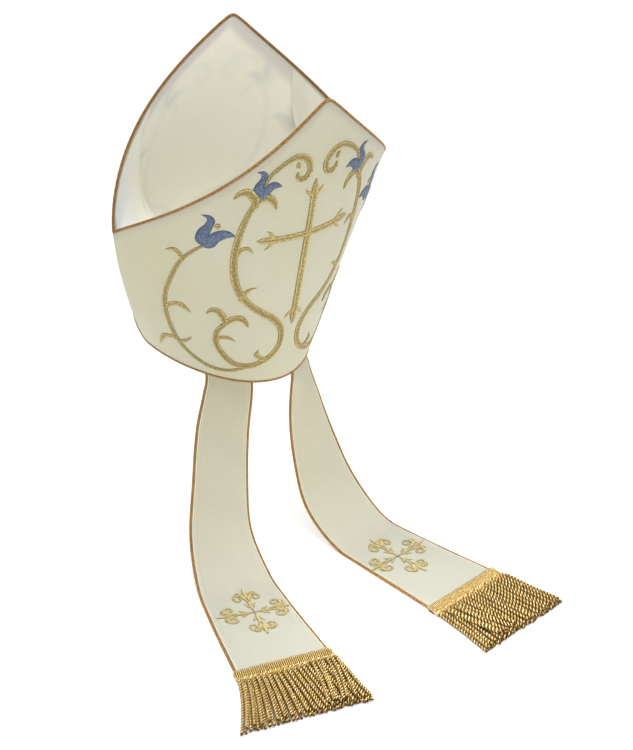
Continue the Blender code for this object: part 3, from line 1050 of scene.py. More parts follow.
def twisted(
    pile: MeshPile, path: Array, outward: Array, radius: float, pitch: float, ring: bool = False,
    plies: int = 3, sides: int = 6, phase: float = 0.0, open_root: float = 0.0, tip: float = 0.0,
    shadow: float = 0.0,
) -> None:
    """Add a cord of plies that wind round a path.

    Each ply is a tube whose middle goes round the path, one turn a pitch, at the radius less its own.

    Args:
        pile: bodies so far.
        path: even points that the cord follows.
        outward: directions square to the path, from which the winding is measured.
        radius: the cord's outer radius.
        pitch: length of one full turn.
        ring: whether the path closes on itself, with a whole number of turns.
        plies: number of plies.
        sides: sides of each ply, an even number.
        phase: where the winding starts, in radians.
        open_root: extra distance between the plies at the start, in metres, gone within one pitch.
        tip: length over which the cord's end rounds off.
        shadow: how much painted shade, in the groove tone, its underside carries.
    """
    ends = np.vstack([path, path[:1]]) if ring else path
    along = lengths_along(ends)
    total = along[-1]
    turns = max(round(total / pitch), 1) if ring else total / pitch
    along = along[: len(path)]
    forward = headings(path, ring)
    square = unit(np.cross(forward, outward))
    out = np.cross(square, forward)
    share = 1 / (1 + 1 / sin(pi / plies))
    thick = radius * share * 1.18
    away = radius - thick
    swell = np.ones(len(path))
    if tip:
        swell = np.sqrt(np.clip(1 - np.clip(1 - (total - along) / tip, 0, 1) ** 2, 0.02, 1))
    spread = away * swell + open_root * ease(1 - along / pitch)
    for ply in range(plies):
        angle = phase + 2 * pi * (turns * along / total + ply / plies)
        centre = path + spread[:, None] * (np.cos(angle)[:, None] * out + np.sin(angle)[:, None] * square)
        round_it = np.linspace(0.0, 2 * pi, sides, endpoint=False)
        grid = centre[:, None] + thick * swell[:, None, None] * circles(round_it, out, square)
        from_middle = np.linalg.norm(grid - path[:, None], axis=2) / radius
        # Painted shade, deepest near the cord's middle between the plies and on the underside.
        groove = np.maximum(ease((1.0 - from_middle) / 0.40), shadow * underside(grid, path, out, radius))
        around = np.linspace(0.0, 2 * pi * thick, sides + 1)
        rows = np.append(along, total) if ring else along
        uv = np.stack(np.meshgrid(around, rows), -1)
        pile.add(grid, uv, {"groove": groove}, ring)


def tube(
    pile: MeshPile, path: Array, outward: Array, radius: Array | float, sides: int = 6, ring: bool = False,
    groove: float | None = None,
) -> None:
    """Add a plain tube: a circle of the radius carried square to the path.

    Args:
        pile: bodies so far.
        path: even points that the tube follows.
        outward: directions square to the path, where its circle starts.
        radius: one radius, or one for each point.
        sides: sides of the circle, an even number.
        ring: whether the path closes on itself.
        groove: how much groove tone, as painted shade, its underside carries where the pile has that tone.
    """
    forward = headings(path, ring)
    along = lengths_along(np.vstack([path, path[:1]]) if ring else path)
    square = unit(np.cross(forward, outward))
    out = np.cross(square, forward)
    round_it = np.linspace(0.0, 2 * pi, sides, endpoint=False)
    thick = np.broadcast_to(np.asarray(radius), (len(path),))
    grid = path[:, None] + thick[:, None, None] * circles(round_it, out, square)
    mean = float(np.mean(radius))
    uv = np.stack(np.meshgrid(np.linspace(0.0, 2 * pi * mean, sides + 1), along), -1)
    tones = None if groove is None else {"groove": groove * underside(grid, path, out, mean)}
    pile.add(grid, uv, tones, ring)


def stitch_line(pile: MeshPile, path: Array, outward: Array, radius: float) -> None:
    """Add a row of small stitches: one short tube a pitch, each dipping into the cloth at both ends.

    Args:
        pile: bodies so far.
        path: even points along the seam, on the cloth.
        outward: directions out of the cloth.
        radius: the thread's radius.
    """
    along = lengths_along(path)
    steps = np.linspace(-0.5, 0.5, 5)
    dip = np.array([-1.6, 0.4, 0.9, 0.4, -1.6]) * radius
    for start in np.arange(STITCH_PITCH, along[-1] - STITCH_PITCH, STITCH_PITCH):
        where = start + steps * STITCH_LENGTH
        line = np.column_stack([np.interp(where, along, column) for column in path.T])
        out = unit(np.column_stack([np.interp(where, along, column) for column in outward.T]))
        tube(pile, line + out * dip[:, None], out, radius, sides=4)


@dataclass
class Crown:
    """The two horns: satin outside, lining inside, embroidery, cords and seams.

    facing_width and facing_fade shape the turned-in band on the lining; the outer width shapes a band of
    painted shade just under the edge cord on the satin.
    vine_ghost and flower_ghost say how dark the painted shade is where the ornament shows through the lining.
    """

    form: CrownForm = field(default_factory=CrownForm)
    cord_radius: float = 1.55 * MM
    rim_cord_inset: float = 0.4 * MM
    satin_thickness: float = 1.1 * MM
    lining_gap: float = 0.15 * MM
    lining_thickness: float = 0.65 * MM
    edge_tuck: float = 1.15 * MM
    facing_width: float = 13 * MM
    facing_fade: float = 14 * MM
    outer_facing: float = 6 * MM
    across_count: int = 161
    height_count: int = 90
    cord_step: float = 0.5 * MM
    seam_inset: float = 3.4 * MM
    seam_radius: float = 0.6 * MM
    stitch_radius: float = 0.16 * MM
    vine_show_through_shade: float = 0.24
    flower_show_through_shade: float = 0.5
    ghost_grow: float = 1 * MM
    ghost_fade: float = 9 * MM

    def __post_init__(self) -> None:
        """Tabulate the cloth's breadth."""
        self.map = CrownMap(self.form)

    def across(self, count: int) -> Array:
        """Places across a horn, closer together at the peak: three quarters even, one quarter cubed."""
        even = np.linspace(-1.0, 1.0, count)
        return 0.75 * even + 0.25 * even**3

    def layer(self, pile: MeshPile, face: Face, outer: float, inner: float, lining: bool) -> float:
        """Add one layer of cloth between two depths.

        Heights run in even shares from just over the rim cord to just under the edge cord; each column of the
        outer side is joined to the inner one above and below.

        Args:
            pile: bodies so far.
            face: which horn.
            outer: depth of its outer side.
            inner: depth of its inner side.
            lining: whether it is the lining, where painted shade of the embroidery shows through.

        Returns:
            The layer's area on one side, in square metres.
        """
        across = self.across(self.across_count)
        top = self.form.below_edge(across, self.edge_tuck)
        share = np.linspace(0.0, 1.0, self.height_count)
        height = self.edge_tuck + (top - self.edge_tuck)[:, None] * share[None, :]
        way = np.broadcast_to(across[:, None], height.shape)
        outside = self.form.cloth(way, height, face, outer)
        inside = self.form.cloth(way, height, face, inner)
        grid = np.concatenate([outside, inside[:, ::-1]], axis=1)
        distance = self.map.distance(way, height)
        both = [np.concatenate([values, values[:, ::-1]], axis=1) for values in (distance, height)]
        # On the lining this tone is the turned-in band; on the satin it is painted shade under the edge cord.
        tones = {"facing": self.facing(way, height, lining)}
        if lining:
            # Painted shade where the embroidery shows through.
            tones["show_through_shade"] = self.show_through_shade(distance, height)
        tones = {name: np.concatenate([tone, tone[:, ::-1]], axis=1) for name, tone in tones.items()}
        pile.add(grid, plain_map(grid, both[0], both[1]), tones)
        return grid_area(outside)

    def facing(self, across: Array, height: Array, lining: bool) -> Array:
        """Tone of the lining's turned-in band, and of the painted shade under the edge cord outside.

        It fades out over a few millimetres round the band's width; outside, it is strongest by the cord.

        Args:
            across: way round the horn.
            height: height above the rim.
            lining: whether it is the lining's tone.

        Returns:
            The tone at each point.
        """
        even = self.across(self.across_count)
        width = self.facing_width if lining else self.outer_facing
        below = np.interp(across, even, self.form.below_edge(even, width)) - height
        return ease(0.5 - below / (self.facing_fade if lining else 2 * width))

    def show_through_shade(self, distance: Array, height: Array) -> Array:
        """Painted shade where the embroidery shows through the lining.

        It is strongest under a stroke and gone a few millimetres off.

        Args:
            distance: distance on the cloth from the middle line.
            height: height above the rim in the upright frame.

        Returns:
            The tone at each point.
        """
        tone = np.zeros(distance.shape)
        spots = [(shape, self.vine_show_through_shade) for shape in VINES + LEAVES]
        spots += [(shape, self.flower_show_through_shade) for shape in FLOWERS]
        for shape, strength in spots:
            left, right = shape.sides()
            middle, half = (left + right)[::3] / 2, np.linalg.norm(left - right, axis=1)[::3] / 2
            for side in (1, -1):
                near = np.hypot(
                    distance[..., None] - side * middle[:, 0], height[..., None] - middle[:, 1]
                ) - half
                beyond = (near.min(axis=-1) + self.ghost_grow) / self.ghost_fade
                tone = np.maximum(tone, strength * ease(0.5 - beyond))
        return tone

    def edge_paths(self, count: int, inset: float, below: float) -> tuple[Array, Array]:
        """Follow both horns' edges as one closed loop.

        Args:
            count: places across each horn.
            inset: depth in from the outside of the cloth.
            below: distance below the edge.

        Returns:
            Even points of the loop, and directions out of it.
        """
        across = self.across(count)
        height = self.form.below_edge(across, below)
        back = self.form.leaned(self.form.upright(across, height, Face.BACK, inset))
        front = self.form.leaned(self.form.upright(across, height, Face.FRONT, inset))[::-1]
        right, left = (back[0] + front[-1]) / 2, (back[-1] + front[0]) / 2
        loop = np.vstack([right, back[1:-1], left, front[1:-1], right])
        steps = round(lengths_along(loop)[-1] / self.cord_step)
        even = evenly(loop, steps + 1)[:-1]
        return even, self.outward(even)

    def outward(self, points: Array) -> Array:
        """Directions away from the leaning axis through the rim's middle."""
        axis = np.array([0.0, sin(self.form.lean), cos(self.form.lean)])
        return unit(points - (points @ axis)[:, None] * axis)

    def rim_path(self, inset: float, height: float) -> tuple[Array, Array]:
        """Follow the rim round at a height.

        Args:
            inset: depth in from the outside of the cloth.
            height: height above the rim.

        Returns:
            Even points of the loop, and directions out of it.
        """
        across = np.linspace(-1.0, 1.0, 200)
        level = np.full(across.shape, height)
        back = self.form.leaned(self.form.upright(across, level, Face.BACK, inset))
        front = self.form.leaned(self.form.upright(across, level, Face.FRONT, inset))[::-1]
        loop = np.vstack([back, front[1:-1], back[:1]])
        steps = round(lengths_along(loop)[-1] / self.cord_step)
        even = evenly(loop, steps + 1)[:-1]
        return even, self.outward(even)

    def seam(self, face: Face, inset: float) -> tuple[Array, Array]:
        """Follow the stitched line just below a horn's edge.

        Args:
            face: which horn.
            inset: depth in from the outside of the cloth.

        Returns:
            Even points, and directions out of the cloth.
        """
        across = self.across(400)[12:-12]
        height = self.form.below_edge(across, self.seam_inset)
        line = self.form.cloth(across, height, face, inset)
        even = evenly(line, 800)
        toward = 1.0 if inset < self.form.wall / 2 else -1.0
        return even, toward * self.outward(even)

    def build(self) -> None:
        """Make every piece of the crown, attach it and hide the solids that it stands for."""
        inner = self.satin_thickness + self.lining_gap
        looks = {"satin": IVORY.dress(), "lining": LINING.dress(), "gold": GOLD.dress(), "blue": BLUE.dress()}
        copper, thread_and_highlight, seam = COPPER.dress(), THREAD_AND_FOLD_HIGHLIGHT.dress(), SEAM.dress()
        for face in Face:
            name = face.name.lower()
            satin, lining = MeshPile(), MeshPile()
            area = self.layer(satin, face, 0.0, self.satin_thickness, False)
            self.layer(lining, face, inner, inner + self.lining_thickness, True)
            outer = satin.make(f"horn_satin_{name}", looks["satin"])
            inside = lining.make(f"horn_lining_{name}", looks["lining"])
            for piece, slot in ((outer, "ivory_cloth"), (inside, "white_lining")):
                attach(piece, BODY)
            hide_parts(f"panel_{name}")
            self.embroider(face, looks)
            stitches = MeshPile()
            for inset in (0.0, inner + self.lining_thickness):
                line, out = self.seam(face, inset)
                stitch_line(stitches, line, out, self.stitch_radius)
            made = stitches.make(f"edge_stitches_{name}", seam)
            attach(made, BODY)
        self.cords(copper, thread_and_highlight)
        self.side_seams(looks["satin"])

    def side_seams(self, look: bpy.types.Material) -> None:
        """The closed seam down each side, from the notch to the rim, where the two horns' satin meets.

        Args:
            look: its material.
        """
        height = np.linspace(self.form.notch_height - 1.5 * MM, 1.5 * MM, 120)
        pile = MeshPile()
        for side in (1.0, -1.0):
            line = self.form.upright(np.full(height.shape, side), height, Face.BACK, self.seam_radius)
            line[:, 1] = 0.0
            path = self.form.leaned(line)
            tube(pile, path, self.outward(path), self.seam_radius)
        made = pile.make("side_seams", look)
        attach(made, BODY)

    def embroider(self, face: Face, looks: dict[str, bpy.types.Material]) -> None:
        """Lay the vines, leaves and cross in gold and the flowers in blue on one horn.

        Args:
            face: which horn.
            looks: materials by name.
        """
        work = Embroidery(self.map.surface(face), 11 + face.value)
        gold, blue = MeshPile(), MeshPile()
        mirrored(gold, work, VINES + LEAVES)
        for shape in CrossWork().shapes():
            work.lay(gold, shape)
        mirrored(blue, work, FLOWERS)
        for pile, name, look in ((gold, "gold_embroidery", "gold"), (blue, "blue_embroidery", "blue")):
            made = pile.make(f"{name}_{face.name.lower()}", looks[look], 70.0)
            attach(made, BODY)

    def cords(self, look: bpy.types.Material, thread_and_highlight: bpy.types.Material) -> None:
        """Wind the cords on the horns' edges and the rim; inside the edge lie a thin flange and a pale fold.

        Args:
            look: the cords' material.
            thread_and_highlight: the fold's material.
        """
        middle = self.form.wall / 2
        flange = FLANGE.dress()
        for name, node, (path, out) in (
            ("edge_cord", "piping_horns", self.edge_paths(400, middle, 0.0)),
            ("rim_cord", "piping_rim", self.rim_path(self.rim_cord_inset, 0.0)),
        ):
            pile = MeshPile()
            twisted(pile, path, out, self.cord_radius, CORD_PITCH, ring=True)
            made = pile.make(name, look, 80.0)
            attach(made, BODY)
            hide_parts(node)
        for name, below, radius, finish, slot in (
            ("edge_flange", 1.5 * MM, 0.3 * MM, flange, "copper_cord"),
            ("edge_fold", 2.2 * MM, 0.55 * MM, thread_and_highlight, "white_lining"),
        ):
            pile = MeshPile()
            path, out = self.edge_paths(400, self.form.wall, below)
            tube(pile, path[::3], out[::3], radius, ring=True)
            made = pile.make(name, finish)
            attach(made, BODY)


@dataclass
class Gussets:
    """The soft webs at the two notches, with slack wrinkles.

    setback is how far in from the notch they start and drop how far below the horns' edges they are held. The
    inner hem bends by hem towards the front horn, lies closer to its lining by settle and thins by hem_taper.
    """

    form: CrownForm
    thickness: float = 0.0010
    setback: float = 0.007
    edge_reach: float = 0.076
    valley_reach: float = 0.058
    drop: float = 0.0030
    hem: float = 0.010
    settle: float = 1.15 * MM
    hem_taper: float = 0.75
    forward: float = 0.55
    at: float = 0.34
    wrinkle: float = 0.7 * MM
    map_span: float = 0.12
    inward_count: int = 61
    span_count: int = 57

    def room(self, aside: Array, height: Array, inset: float) -> Array:
        """Depth free inside a horn: the half depth where the cross-section reaches that far aside.

        Args:
            aside: distance from the middle plane.
            height: height above the rim in the upright frame.
            inset: depth in from the outside of the cloth.

        Returns:
            The free half depth.
        """
        width, depth, roundness = self.form.section(height, inset)
        beside = np.clip(np.abs(aside) / width, 0.0, 1.0)
        return depth * (1 - beside**2) ** (roundness / 2)

    def hem_share(self) -> Array:
        """How far each point of a web lies on its inner hem by the front horn, from 0 to 1.

        Returns:
            Shares, rows inwards from the notch and columns from front to back.
        """
        inward = np.linspace(0.0, 1.0, self.inward_count)[:, None]
        span = np.linspace(0.0, 1.0, self.span_count)[None, :]
        return ease((inward - 0.8) / 0.2) * ease((0.6 - span) / 0.3)

    def web(self, side: int) -> Array:
        """Middle of one web.

        Each row is the parabola from just below the front edge through the valley and up to the back edge.
        The wrinkles are waves that fan out from the notch and fade at the web's borders, and the inner hem
        bends towards the front horn and lies down on its lining.

        Args:
            side: 1 for the wearer's left, -1 for the right.

        Returns:
            Leaned points, rows inwards from the notch and columns from front to back.
        """
        inward = np.linspace(0.0, 1.0, self.inward_count)[:, None]
        span = np.linspace(0.0, 1.0, self.span_count)[None, :, None]
        half_notch = self.form.notch_width / 2
        reach = self.setback + (self.edge_reach - self.setback) * inward
        across = side * np.arcsin(1.0 - reach / half_notch) * 2 / pi
        inset = self.form.wall + self.form.clearance + self.thickness
        height = self.form.edge(across) - self.drop
        front = self.form.upright(across, height, Face.FRONT, inset)
        back = self.form.upright(across, height, Face.BACK, inset)
        valley_x = side * (half_notch - self.setback - (self.valley_reach - self.setback) * inward)
        valley_z = self.form.notch_height - self.drop * (1 - inward)
        valley_y = -self.forward * self.room(valley_x, valley_z, inset)
        valley = np.stack([valley_x, valley_y, valley_z], -1)
        pull = (valley - (1 - self.at) ** 2 * front - self.at**2 * back) / (2 * self.at * (1 - self.at))
        web = (1 - span) ** 2 * front + 2 * span * (1 - span) * pull + span**2 * back
        across_web = span[..., 0]
        hem = self.hem_share()
        web[..., 1] -= self.hem * hem
        free = self.room(web[..., 0], web[..., 2], inset)
        front_free = self.room(web[..., 0], web[..., 2], inset - self.settle * hem)
        web[..., 1] = np.clip(web[..., 1], -front_free, free)
        width = self.form.section(web[..., 2], inset)[0]
        way = np.arcsin(np.clip(web[..., 0] / width, -1.0, 1.0)) * 2 / pi
        web[..., 1] -= hem * self.form.softness(way, web[..., 2])
        fade = ease(across_web / 0.12) * ease((1 - across_web) / 0.12) * ease(inward / 0.15) * (1 - hem)
        first = np.sin(17 * across_web + 2.5 * inward)
        second = 0.7 * np.sin(9 * across_web * (1 + inward) + 6 * inward + 1)
        web[..., 2] += self.wrinkle * fade * (first + second)
        return self.form.leaned(web)

    def build(self) -> None:
        """Make both webs, each a thin closed sheet."""
        # A darker copy of the lining's cloth, as painted shade.
        look = GUSSET_SHADED_LINING.dress()
        for name, side in (("left", 1), ("right", -1)):
            middle = self.web(side)
            normal = unit(np.cross(np.gradient(middle, axis=0), np.gradient(middle, axis=1)))
            half = normal * (self.thickness / 2 * (1 - self.hem_taper * self.hem_share()))[..., None]
            over, under = middle + half, middle - half
            grid = np.concatenate([over, under[:, ::-1]], axis=1)
            along = np.linspace(0.0, self.edge_reach, self.inward_count)[:, None]
            span = np.linspace(0.0, self.map_span, self.span_count)
            across = np.concatenate([span, span[::-1]])[None, :]
            pile = MeshPile()
            share, every = along / self.edge_reach, np.ones(grid.shape[:2])
            tones = {
                "notch": every * ease(1.1 - share / 0.7) * (side > 0),
                "shade": every * ease((share - 0.1) / 0.6) * (side < 0),
            }
            pile.add(grid, plain_map(grid, across, along), tones)
            made = pile.make(f"gusset_web_{name}", look)
            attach(made, BODY)
            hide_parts(f"gusset_{name}")


@dataclass(frozen=True)
class Bend:
    """One row of a lappet's fall: shares of its length, reach and drop, then degrees of turn and roll."""

    along: float
    aside: float
    back: float
    down: float
    turn: float
    roll: float


LEFT_FALL = (
    Bend(0.00, -0.040, 0.000, 0.000, -30, 0),
    Bend(0.10, -0.062, -0.007, 0.160, -26, 2),
    Bend(0.22, -0.018, 0.008, 0.368, -21, 12),
    Bend(0.36, 0.038, 0.064, 0.603, -11, 12),
    Bend(0.50, 0.103, 0.157, 0.829, -10, 9),
    Bend(0.64, 0.165, 0.347, 0.982, -17, 1),
    Bend(0.80, 0.259, 0.627, 1.000, -19, 0),
    Bend(1.00, 0.372, 0.990, 1.000, -15, 0),
)
RIGHT_FALL = (
    Bend(0.00, 0.045, 0.000, 0.000, 36, 0),
    Bend(0.10, 0.052, -0.004, 0.158, 33, 5),
    Bend(0.22, 0.036, 0.020, 0.365, 19, -2),
    Bend(0.36, 0.001, 0.072, 0.606, 9, -7),
    Bend(0.50, -0.046, 0.157, 0.834, 4, -9),
    Bend(0.64, -0.084, 0.360, 0.984, 7, -2),
    Bend(0.80, -0.119, 0.663, 1.000, 6, 0),
    Bend(1.00, -0.165, 1.040, 1.000, 7, 0),
)


def fleur(turn: float) -> list[tuple[Shape, float]]:
    """One arm of the lappet's cross fleury, as shapes along +up with the angle to turn them by.

    A pointed tongue stands between two volutes that curl out and back; a calyx with two small leaves holds
    them on a thin stem.

    Args:
        turn: the arm's angle in degrees.

    Returns:
        Shapes with their angle.
    """
    right = (
        Stroke(((1.0, 12.5), (1.3, 18), (2.6, 23.5), (6.0, 27.6), (10.4, 27.2), (12.2, 23.2), (10.4, 19.6),
                (7.4, 19.4), (6.2, 21.6), (7.6, 23)),
               (0.6, 1.1, 1.5, 1.8, 1.9, 1.8, 1.6, 1.3, 1.1, 0.6), core=0.0, height=0.75),
        Stroke(((0.8, 15), (2.0, 19), (4.0, 22.8), (6.4, 24.9), (8.8, 24.6)),
               (0.4, 0.9, 1.1, 0.9, 0.2), core=0.0, height=0.6),
        Stroke(((0.6, 20), (1.6, 25), (4.0, 29.4), (7.6, 30.8), (10.2, 29.6)),
               (0.5, 1.1, 1.2, 0.9, 0.2), core=0.0, height=0.55),
        Stroke(((0.7, 7.5), (2.6, 9.6), (3.8, 12.2), (6.4, 13.9)),
               (1.0, 1.5, 0.9, 0.1), core=0.0, height=0.6),
    )
    middle = (
        Stroke(((0, 21), (0, 29), (0, 37.5)), (0.8, 1.9, 2.1, 1.5, 0.2), core=0.0, height=0.95),
        Stroke(((0, 2.2), (0, 7), (0, 12), (0, 17)), (0.6, 1.5, 2.1, 1.4, 0.8), core=0.0, height=0.8),
    )
    left = tuple(
        Stroke(tuple((-x, y) for x, y in shape.points), shape.half, shape.core, shape.height)
        for shape in right
    )
    return [(shape, turn) for shape in (*right, *left, *middle)]


@dataclass
class Lappet:
    """One lappet: double satin, side cords and a stitched cross fleury.

    seat is the seam's distance from the middle of the back, and seat_shift moves the hidden top along the
    wall. The cloth lies on the wall as far as hold_until and hangs free from hold_free, both shares of its
    length.
    """

    form: CrownForm
    hand: Hand
    fall_rows: tuple[Bend, ...]
    seat: float
    drop: float = 0.205
    thickness: float = 0.0016
    top_width: float = 0.043
    end_width: float = 0.093
    reach: float = 0.190
    seam_height: float = 0.018
    clearance: float = 0.0009
    cord_radius: float = 0.0014
    hold_until: float = 0.02
    hold_free: float = 0.12
    seat_shift: float = 0.0
    motif_before_end: float = 78 * MM
    motif_aside: float = 0.0
    # Width of the painted shadow along the edges of the motif's strokes.
    motif_outline_shadow: float = 0.65 * MM
    tuck: float = 0.4 * MM
    groove_inset: float = 3.2 * MM
    groove_half: float = 0.9 * MM
    groove_depth: float = 0.28 * MM
    edge_round: float = 0.9 * MM
    cord_fullness: float = 1.1
    fold_inset: float = 0.35 * MM
    fold_radius: float = 0.42 * MM
    fold_sunk: float = 0.1 * MM
    seam_inset: float = 3.0 * MM
    stitch_sunk: float = 0.25 * MM
    stitch_radius: float = 0.15 * MM
    cloth_rows: int = 260
    cloth_columns: int = 34
    ripple: float = 0.5 * MM

    def __post_init__(self) -> None:
        """Work out the seam's place, the fall and the length of the middle line."""
        self.name = self.hand.name.lower()
        self.inset = self.form.wall / 2 + 2 * self.cord_radius + self.clearance
        self.centre = self.hand.value * float(np.arcsin(2 * self.seat / self.form.rim_width)) * 2 / pi
        top = self.form.upright(np.array(self.centre), np.array(self.seam_height), Face.BACK, self.inset)
        self.top = self.form.leaned(top)
        self.fall = self.top[2] + self.drop - self.cord_radius
        self.shares = np.linspace(0.0, 1.0, 400)
        self.lengths = lengths_along(self.middle(self.shares, np.zeros(400)))
        self.length = float(self.lengths[-1])

    def column(self, name: str, along: Array) -> Array:
        """A column of the fall's rows, read smoothly at shares of the length.

        Args:
            name: the column's name.
            along: shares of the length.

        Returns:
            Its values there.
        """
        at = np.array([row.along for row in self.fall_rows])
        values = np.array([getattr(row, name) for row in self.fall_rows], dtype=float)
        return hermite(at, values, along)

    def middle(self, along: Array, offset: Array) -> Array:
        """Point of the middle surface.

        The cloth follows the inside of the wall at its seam and eases over to its free fall, where the line
        across it is swung by turn and tilted by roll.

        Args:
            along: share of the length from the seam to the end.
            offset: distance across from the middle line.

        Returns:
            Points in the frame.
        """
        along, offset = np.broadcast_arrays(along, offset)
        aside, back = self.column("aside", along) * self.reach, self.column("back", along) * self.reach
        down = np.clip(self.column("down", along), 0.0, 1.0) * self.fall
        turn, roll = np.radians(self.column("turn", along)), np.radians(self.column("roll", along))
        line = np.stack([np.cos(turn) * np.cos(roll), np.sin(turn) * np.cos(roll), np.sin(roll)], -1)
        hanging = self.top + np.stack([aside, back, -down], -1) + line * offset[..., None]
        round_rim = (self.form.rim_width + self.form.rim_depth) / 4
        across = self.centre + (offset + self.seat_shift) / round_rim * 2 / pi
        height = self.seam_height - along * (self.fall + self.reach)
        wall = self.form.leaned(self.form.upright(across, height, Face.BACK, self.inset))
        free = ease((along - self.hold_until) / (self.hold_free - self.hold_until))[..., None]
        return wall * (1 - free) + hanging * free

    def width(self, along: Array) -> Array:
        """Full width over the side cords, growing evenly from the seam to the end."""
        return self.top_width + (self.end_width - self.top_width) * along

    def normal(self, along: Array, offset: Array) -> Array:
        """Directions out of the show side: the cross product of the ways across and along.

        Args:
            along: share of the length from the seam to the end.
            offset: distance across from the middle line.

        Returns:
            Unit vectors.
        """
        step = 1e-3
        lengthwise = self.middle(along + step, offset) - self.middle(along - step, offset)
        crosswise = self.middle(along, offset + step) - self.middle(along, offset - step)
        return unit(np.cross(crosswise, lengthwise))

    def raised(self, along: Array, offset: Array, lift: Array) -> Array:
        """Point lifted off the middle surface, with the cloth's slow ripples.

        Args:
            along: share of the length from the seam to the end.
            offset: distance across from the middle line.
            lift: distance towards the show side.

        Returns:
            Points in the frame.
        """
        along, offset, lift = np.broadcast_arrays(along, offset, lift)
        inside = ease((self.width(along) / 2 - np.abs(offset)) / (10 * MM))
        clear = ease(along / 0.2) * ease((1 - along) / 0.08)
        ripples = np.sin(38 * along + 70 * offset) + 0.6 * np.sin(19 * along - 110 * offset + 1.3)
        swell = self.ripple * inside * clear * (ripples + 0.6)
        return self.middle(along, offset) + self.normal(along, offset) * (lift + swell)[..., None]

    def share_before_end(self, before_end: Array) -> Array:
        """Share of the length that lies a distance before the end."""
        return np.interp(self.length - before_end, self.lengths, self.shares)

    def surface(self, aside: Array, up: Array, lift: Array) -> Array:
        """Lay flat points on the show side, measured from the motif's middle, with up towards the seam."""
        along = self.share_before_end(self.motif_before_end + up)
        return self.raised(along, aside + self.motif_aside, lift + self.thickness / 2)

    def cloth(self, look: bpy.types.Material) -> bpy.types.Object:
        """The double cloth: two sides a thickness apart, rounded at the edges, with a groove by each seam.

        Args:
            look: its material.

        Returns:
            The cloth.
        """
        along = np.linspace(0.0, 1.0, self.cloth_rows)[:, None]
        span = np.sin(np.linspace(-1.0, 1.0, self.cloth_columns) * 1.35) / sin(1.35)
        half = self.width(along) / 2 - 2 * self.cord_radius + self.tuck
        offset = span[None, :] * half
        from_edge = half - np.abs(offset)
        groove = np.exp(-(((from_edge - self.groove_inset) / self.groove_half) ** 2)) * self.groove_depth
        rounded = np.sqrt(np.clip(1 - np.clip(1 - from_edge / self.edge_round, 0, 1) ** 2, 0.05, 1))
        lift = self.thickness / 2 * rounded - groove
        over, under = self.raised(along, offset, lift), self.raised(along, offset, -lift)
        grid = np.concatenate([over, under[:, ::-1]], axis=1)
        across = np.concatenate([offset, offset[:, ::-1]], axis=1)
        pile = MeshPile()
        foot = ease((along - 0.2) / 0.7) * np.ones(grid.shape[:2])
        pile.add(grid, plain_map(grid, across, along * self.length), {"foot": foot})
        made = pile.make(f"lappet_satin_{self.name}", look)
        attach(made, BODY)
        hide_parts(f"lappet_{self.name}")
        return made

    def cords(self, look: bpy.types.Material, thread_and_highlight: bpy.types.Material) -> None:
        """The cord and the folded seam along each long side, and the stitches beside them.

        The fold is coloured pale, a painted highlight beside the cord.

        Args:
            look: the cord's material.
            thread_and_highlight: the fold's and the stitches' material; on the fold it is a painted highlight.
        """
        stitches = MeshPile()
        for place, side in (("a", 1), ("b", -1)):
            along = np.linspace(0.0, 1.0, 500)
            offset = side * (self.width(along) / 2 - self.cord_radius)
            line = self.middle(along, offset)
            even = evenly(line, round(lengths_along(line)[-1] / (0.5 * MM)))
            shares = np.interp(lengths_along(even), lengths_along(line), along)
            normal = self.normal(shares, side * (self.width(shares) / 2 - self.cord_radius))
            pile = MeshPile()
            twisted(pile, even, normal, self.cord_fullness * self.cord_radius, CORD_PITCH, phase=side)
            made = pile.make(f"lappet_cord_{self.name}_{place}", look, 80.0)
            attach(made, BODY)
            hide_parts(f"lappet_{self.name}_piping_{place}")
            fold = MeshPile()
            fold_offset = side * (self.width(shares) / 2 - 2 * self.cord_radius - self.fold_inset)
            fold_line = self.raised(shares, fold_offset, self.thickness / 2 - self.fold_sunk)
            # The fold is real; its pale colour is a painted highlight beside the cord.
            tube(fold, fold_line, normal, self.fold_radius)
            seam_fold = fold.make(f"lappet_fold_{self.name}_{place}", thread_and_highlight)
            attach(seam_fold, BODY)
            seam_offset = side * (self.width(along) / 2 - 2 * self.cord_radius - self.seam_inset)
            for lift in (self.thickness / 2 - self.stitch_sunk, self.stitch_sunk - self.thickness / 2):
                seam = self.raised(along, seam_offset, lift)
                out = self.normal(along, seam_offset) * np.sign(lift)
                stitch_line(stitches, seam, out, self.stitch_radius)
        made = stitches.make(f"lappet_stitches_{self.name}", thread_and_highlight)
        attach(made, BODY)

    def motif(self, look: bpy.types.Material) -> None:
        """The cross fleury: four arms a quarter turn apart, and a small boss in the middle.

        Args:
            look: its material.
        """
        pile = MeshPile()
        for shape, turn in [pair for quarter in range(4) for pair in fleur(90.0 * quarter)]:
            c, s = cos(radians(turn)), sin(radians(turn))

            def turned(aside: Array, up: Array, lift: Array, c: float = c, s: float = s) -> Array:
                """The show side, with the flat points turned by the arm's angle."""
                return self.surface(aside * c - up * s, aside * s + up * c, lift)

            Embroidery(turned, 5, self.motif_outline_shadow).lay(pile, shape)
        Embroidery(self.surface, 5, self.motif_outline_shadow).lay(pile, dot(0.0, 0.0, 1.8))
        made = pile.make(f"lappet_embroidery_{self.name}", look, 70.0)
        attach(made, BODY)


@dataclass(frozen=True)
class RopeLayer:
    """One layer of ropes.

    It rests at a height over the floor and follows the fan by a share, plus its own swing at the tips. It
    fills the heading from start to end, falls short of the full length, drifts, and carries painted shade
    underneath.
    """

    count: int
    rest: float
    fan: float
    drift: float
    start: float = -1.0
    end: float = 1.0
    short: float = 0.0
    swing: float = 0.0
    shadow: float = 0.6


